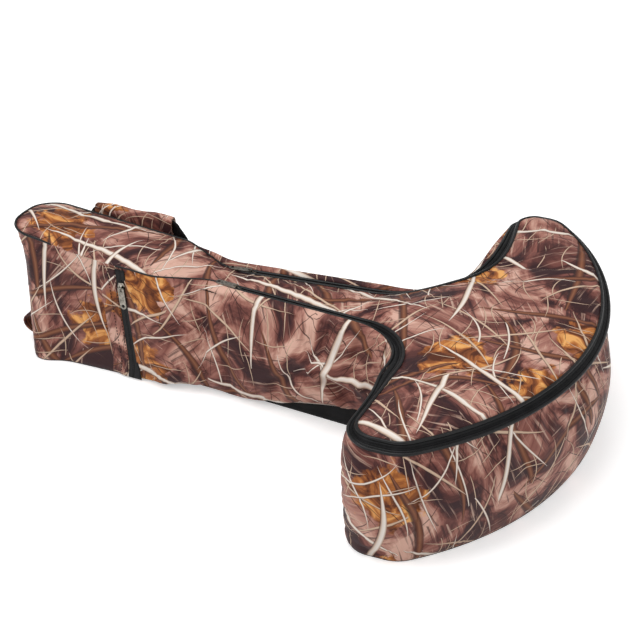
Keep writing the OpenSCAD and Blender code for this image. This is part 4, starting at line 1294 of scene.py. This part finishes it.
def sleeve_ring(t, inner):
    """One ring of the sleeve at a share t of its length. The flap's edge is a small step on the near side."""
    pinch = 1 - SLEEVE_PINCH * abs(2 * t - 1) ** 8
    sag = SLEEVE_SAG * math.sin(math.pi * t * 3)
    x = sleeve_low.x + 2 * sleeve_half.x * t
    ring = []
    for k in range(SLEEVE_SIDES):
        a = 2 * math.pi * k / SLEEVE_SIDES
        c, s = math.cos(a), math.sin(a)
        flap = FLAP_T if FLAP_FROM < k / SLEEVE_SIDES < FLAP_TO else 0.0
        shrink = SLEEVE_WALL if inner else FLAP_T - flap
        y = sleeve_mid.y + (sleeve_half.y * pinch - shrink) * math.copysign(abs(c) ** ROUND_Y, c)
        z = sleeve_mid.z + (sleeve_half.z * pinch - shrink) * math.copysign(abs(s) ** ROUND_Z, s)
        place = Vector((x / CREASE_L, y / CREASE_W, z / CREASE_H))
        crease = 0.0 if inner else SLEEVE_RIPPLE * noise.noise(place)
        ring.append((x, y + crease * c, z + crease * s + sag))
    return ring


rows = []
for inner in (False, True):
    for t in shares(SLEEVE_STOPS):
        t = 1 - t if inner else t
        along = SLEEVE_MAP + 2 * sleeve_half.x * t + (2.0 if inner else 0.0)
        rows.append([(p, (along, m * SLEEVE_PITCH)) for m, p in enumerate(sleeve_ring(t, inner))])
sleeve = join_rows("handle_wrap", rows, PRINT, ring=True, loop=True)
attach(sleeve, "handle", "camo_cloth", "handle_sleeve")

# %% [markdown]
# ## Hanging loop
# A short strip of the printed cloth is folded double and sewn to the butt end as a loop.

# %% Hanging loop
loop_low, loop_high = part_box("hang_loop")
loop_size = loop_high - loop_low
LOOP_FOOT = BUTT_X + 26 * MM
LOOP_REACH = LOOP_FOOT - BUTT_X + 2 * MM
LOOP_SHIFT = Vector((0, -8 * MM, -8 * MM))
LOOP_STEPS, LOOP_COLUMNS = 24, 5
LOOP_MAP = Vector((48 * MM, 20 * MM))
loop_mid = (loop_low + loop_high) / 2 + LOOP_SHIFT
rows = []
for t in shares(LOOP_STEPS):
    a = QUARTER + math.pi * t
    x, z = LOOP_FOOT + LOOP_REACH * math.cos(a), loop_mid.z + loop_size.z / 2 * math.sin(a)
    places = [(loop_mid.y + loop_size.y * (m - 0.5), m * LOOP_MAP.y) for m in shares(LOOP_COLUMNS)]
    rows.append([((x, y, z), (t * LOOP_MAP.x, across)) for y, across in places])
loop = join_rows("hang_loop_strip", rows, PRINT)
attach(thicken(loop, 2.4 * MM, 0), "bag", "camo_cloth", "hang_loop")
print("loop reaches", round((BUTT_X - LOOP_FOOT + LOOP_REACH) / MM, 1), "mm past the butt end")

# %% [markdown]
# ## Floor, light and camera
# The case lies on a white sweep under soft studio light. The paper adds a little light of its own, only for
# what the camera and the metal see, so that it shows white and still takes the shadow. The camera stands
# where the photographer stood.

# %% Stage
FLOOR_HALF = 30.0
PAPER_GLOW, ROOM_LIGHT = 0.45, 0.56
floor_mesh = bpy.data.meshes.new("studio_floor")
floor_corners = [(x * FLOOR_HALF, y * FLOOR_HALF, 0) for x, y in ((-1, -1), (1, -1), (1, 1), (-1, 1))]
floor_mesh.from_pydata(floor_corners, [], [(0, 1, 2, 3)])
floor = bpy.data.objects.new("studio_floor", floor_mesh)
scene.collection.objects.link(floor)
paper, tree, shader = new_material("white_paper_sweep")
rays = add(tree, "LightPath").outputs
seen = rays["Is Camera Ray"]
for ray in ("Is Glossy Ray", "Is Transmission Ray"):
    seen = add(tree, "Math", {0: seen, 1: rays[ray]}, "MAXIMUM")
glow = add(tree, "Math", {0: seen, 1: PAPER_GLOW}, "MULTIPLY")
feed(tree, shader, {"Emission Strength": glow, "Emission Color": "#ffffff", "Base Color": "#f2f2f2",
                    "Roughness": 0.9, "Specular IOR Level": 0.0})
floor_mesh.materials.append(paper)

scene.view_settings.view_transform = "Standard"
world = bpy.data.worlds.new("studio")
scene.world = world
world.use_nodes = True
background = world.node_tree.nodes["Background"]
feed(world.node_tree, background, {"Color": "#ffffff", "Strength": ROOM_LIGHT})


# %% Lamps and camera
LAMP_TARGET = (0, 0, 0.1)
LENS, SENSOR_W = 97.4, 36.0
CAMERA_AT, CAMERA_TARGET = (0.9419, -2.1260, 1.5138), (-0.0437, 0.2222, 0.0)


def aim(piece, place, target):
    piece.location = place
    piece.rotation_euler = (Vector(target) - Vector(place)).to_track_quat("-Z", "Y").to_euler()
    scene.collection.objects.link(piece)


for name, place, size, watts in (
    ("softbox_left", (-1.6, -1.8, 2.4), 1.6, 22),
    ("softbox_above", (-0.2, -0.3, 2.9), 1.6, 30),
    ("softbox_right", (2.2, -0.6, 2.0), 1.4, 8),
):
    light = bpy.data.lights.new(name, "AREA")
    light.shape = "DISK"
    light.size = size
    light.energy = watts
    aim(bpy.data.objects.new(name, light), place, LAMP_TARGET)

camera = bpy.data.objects.new("camera", bpy.data.cameras.new("camera"))
camera.data.lens = LENS
camera.data.sensor_width = SENSOR_W
aim(camera, CAMERA_AT, CAMERA_TARGET)
scene.camera = camera
print("camera", round(math.dist(CAMERA_AT, CAMERA_TARGET), 2), "m away")
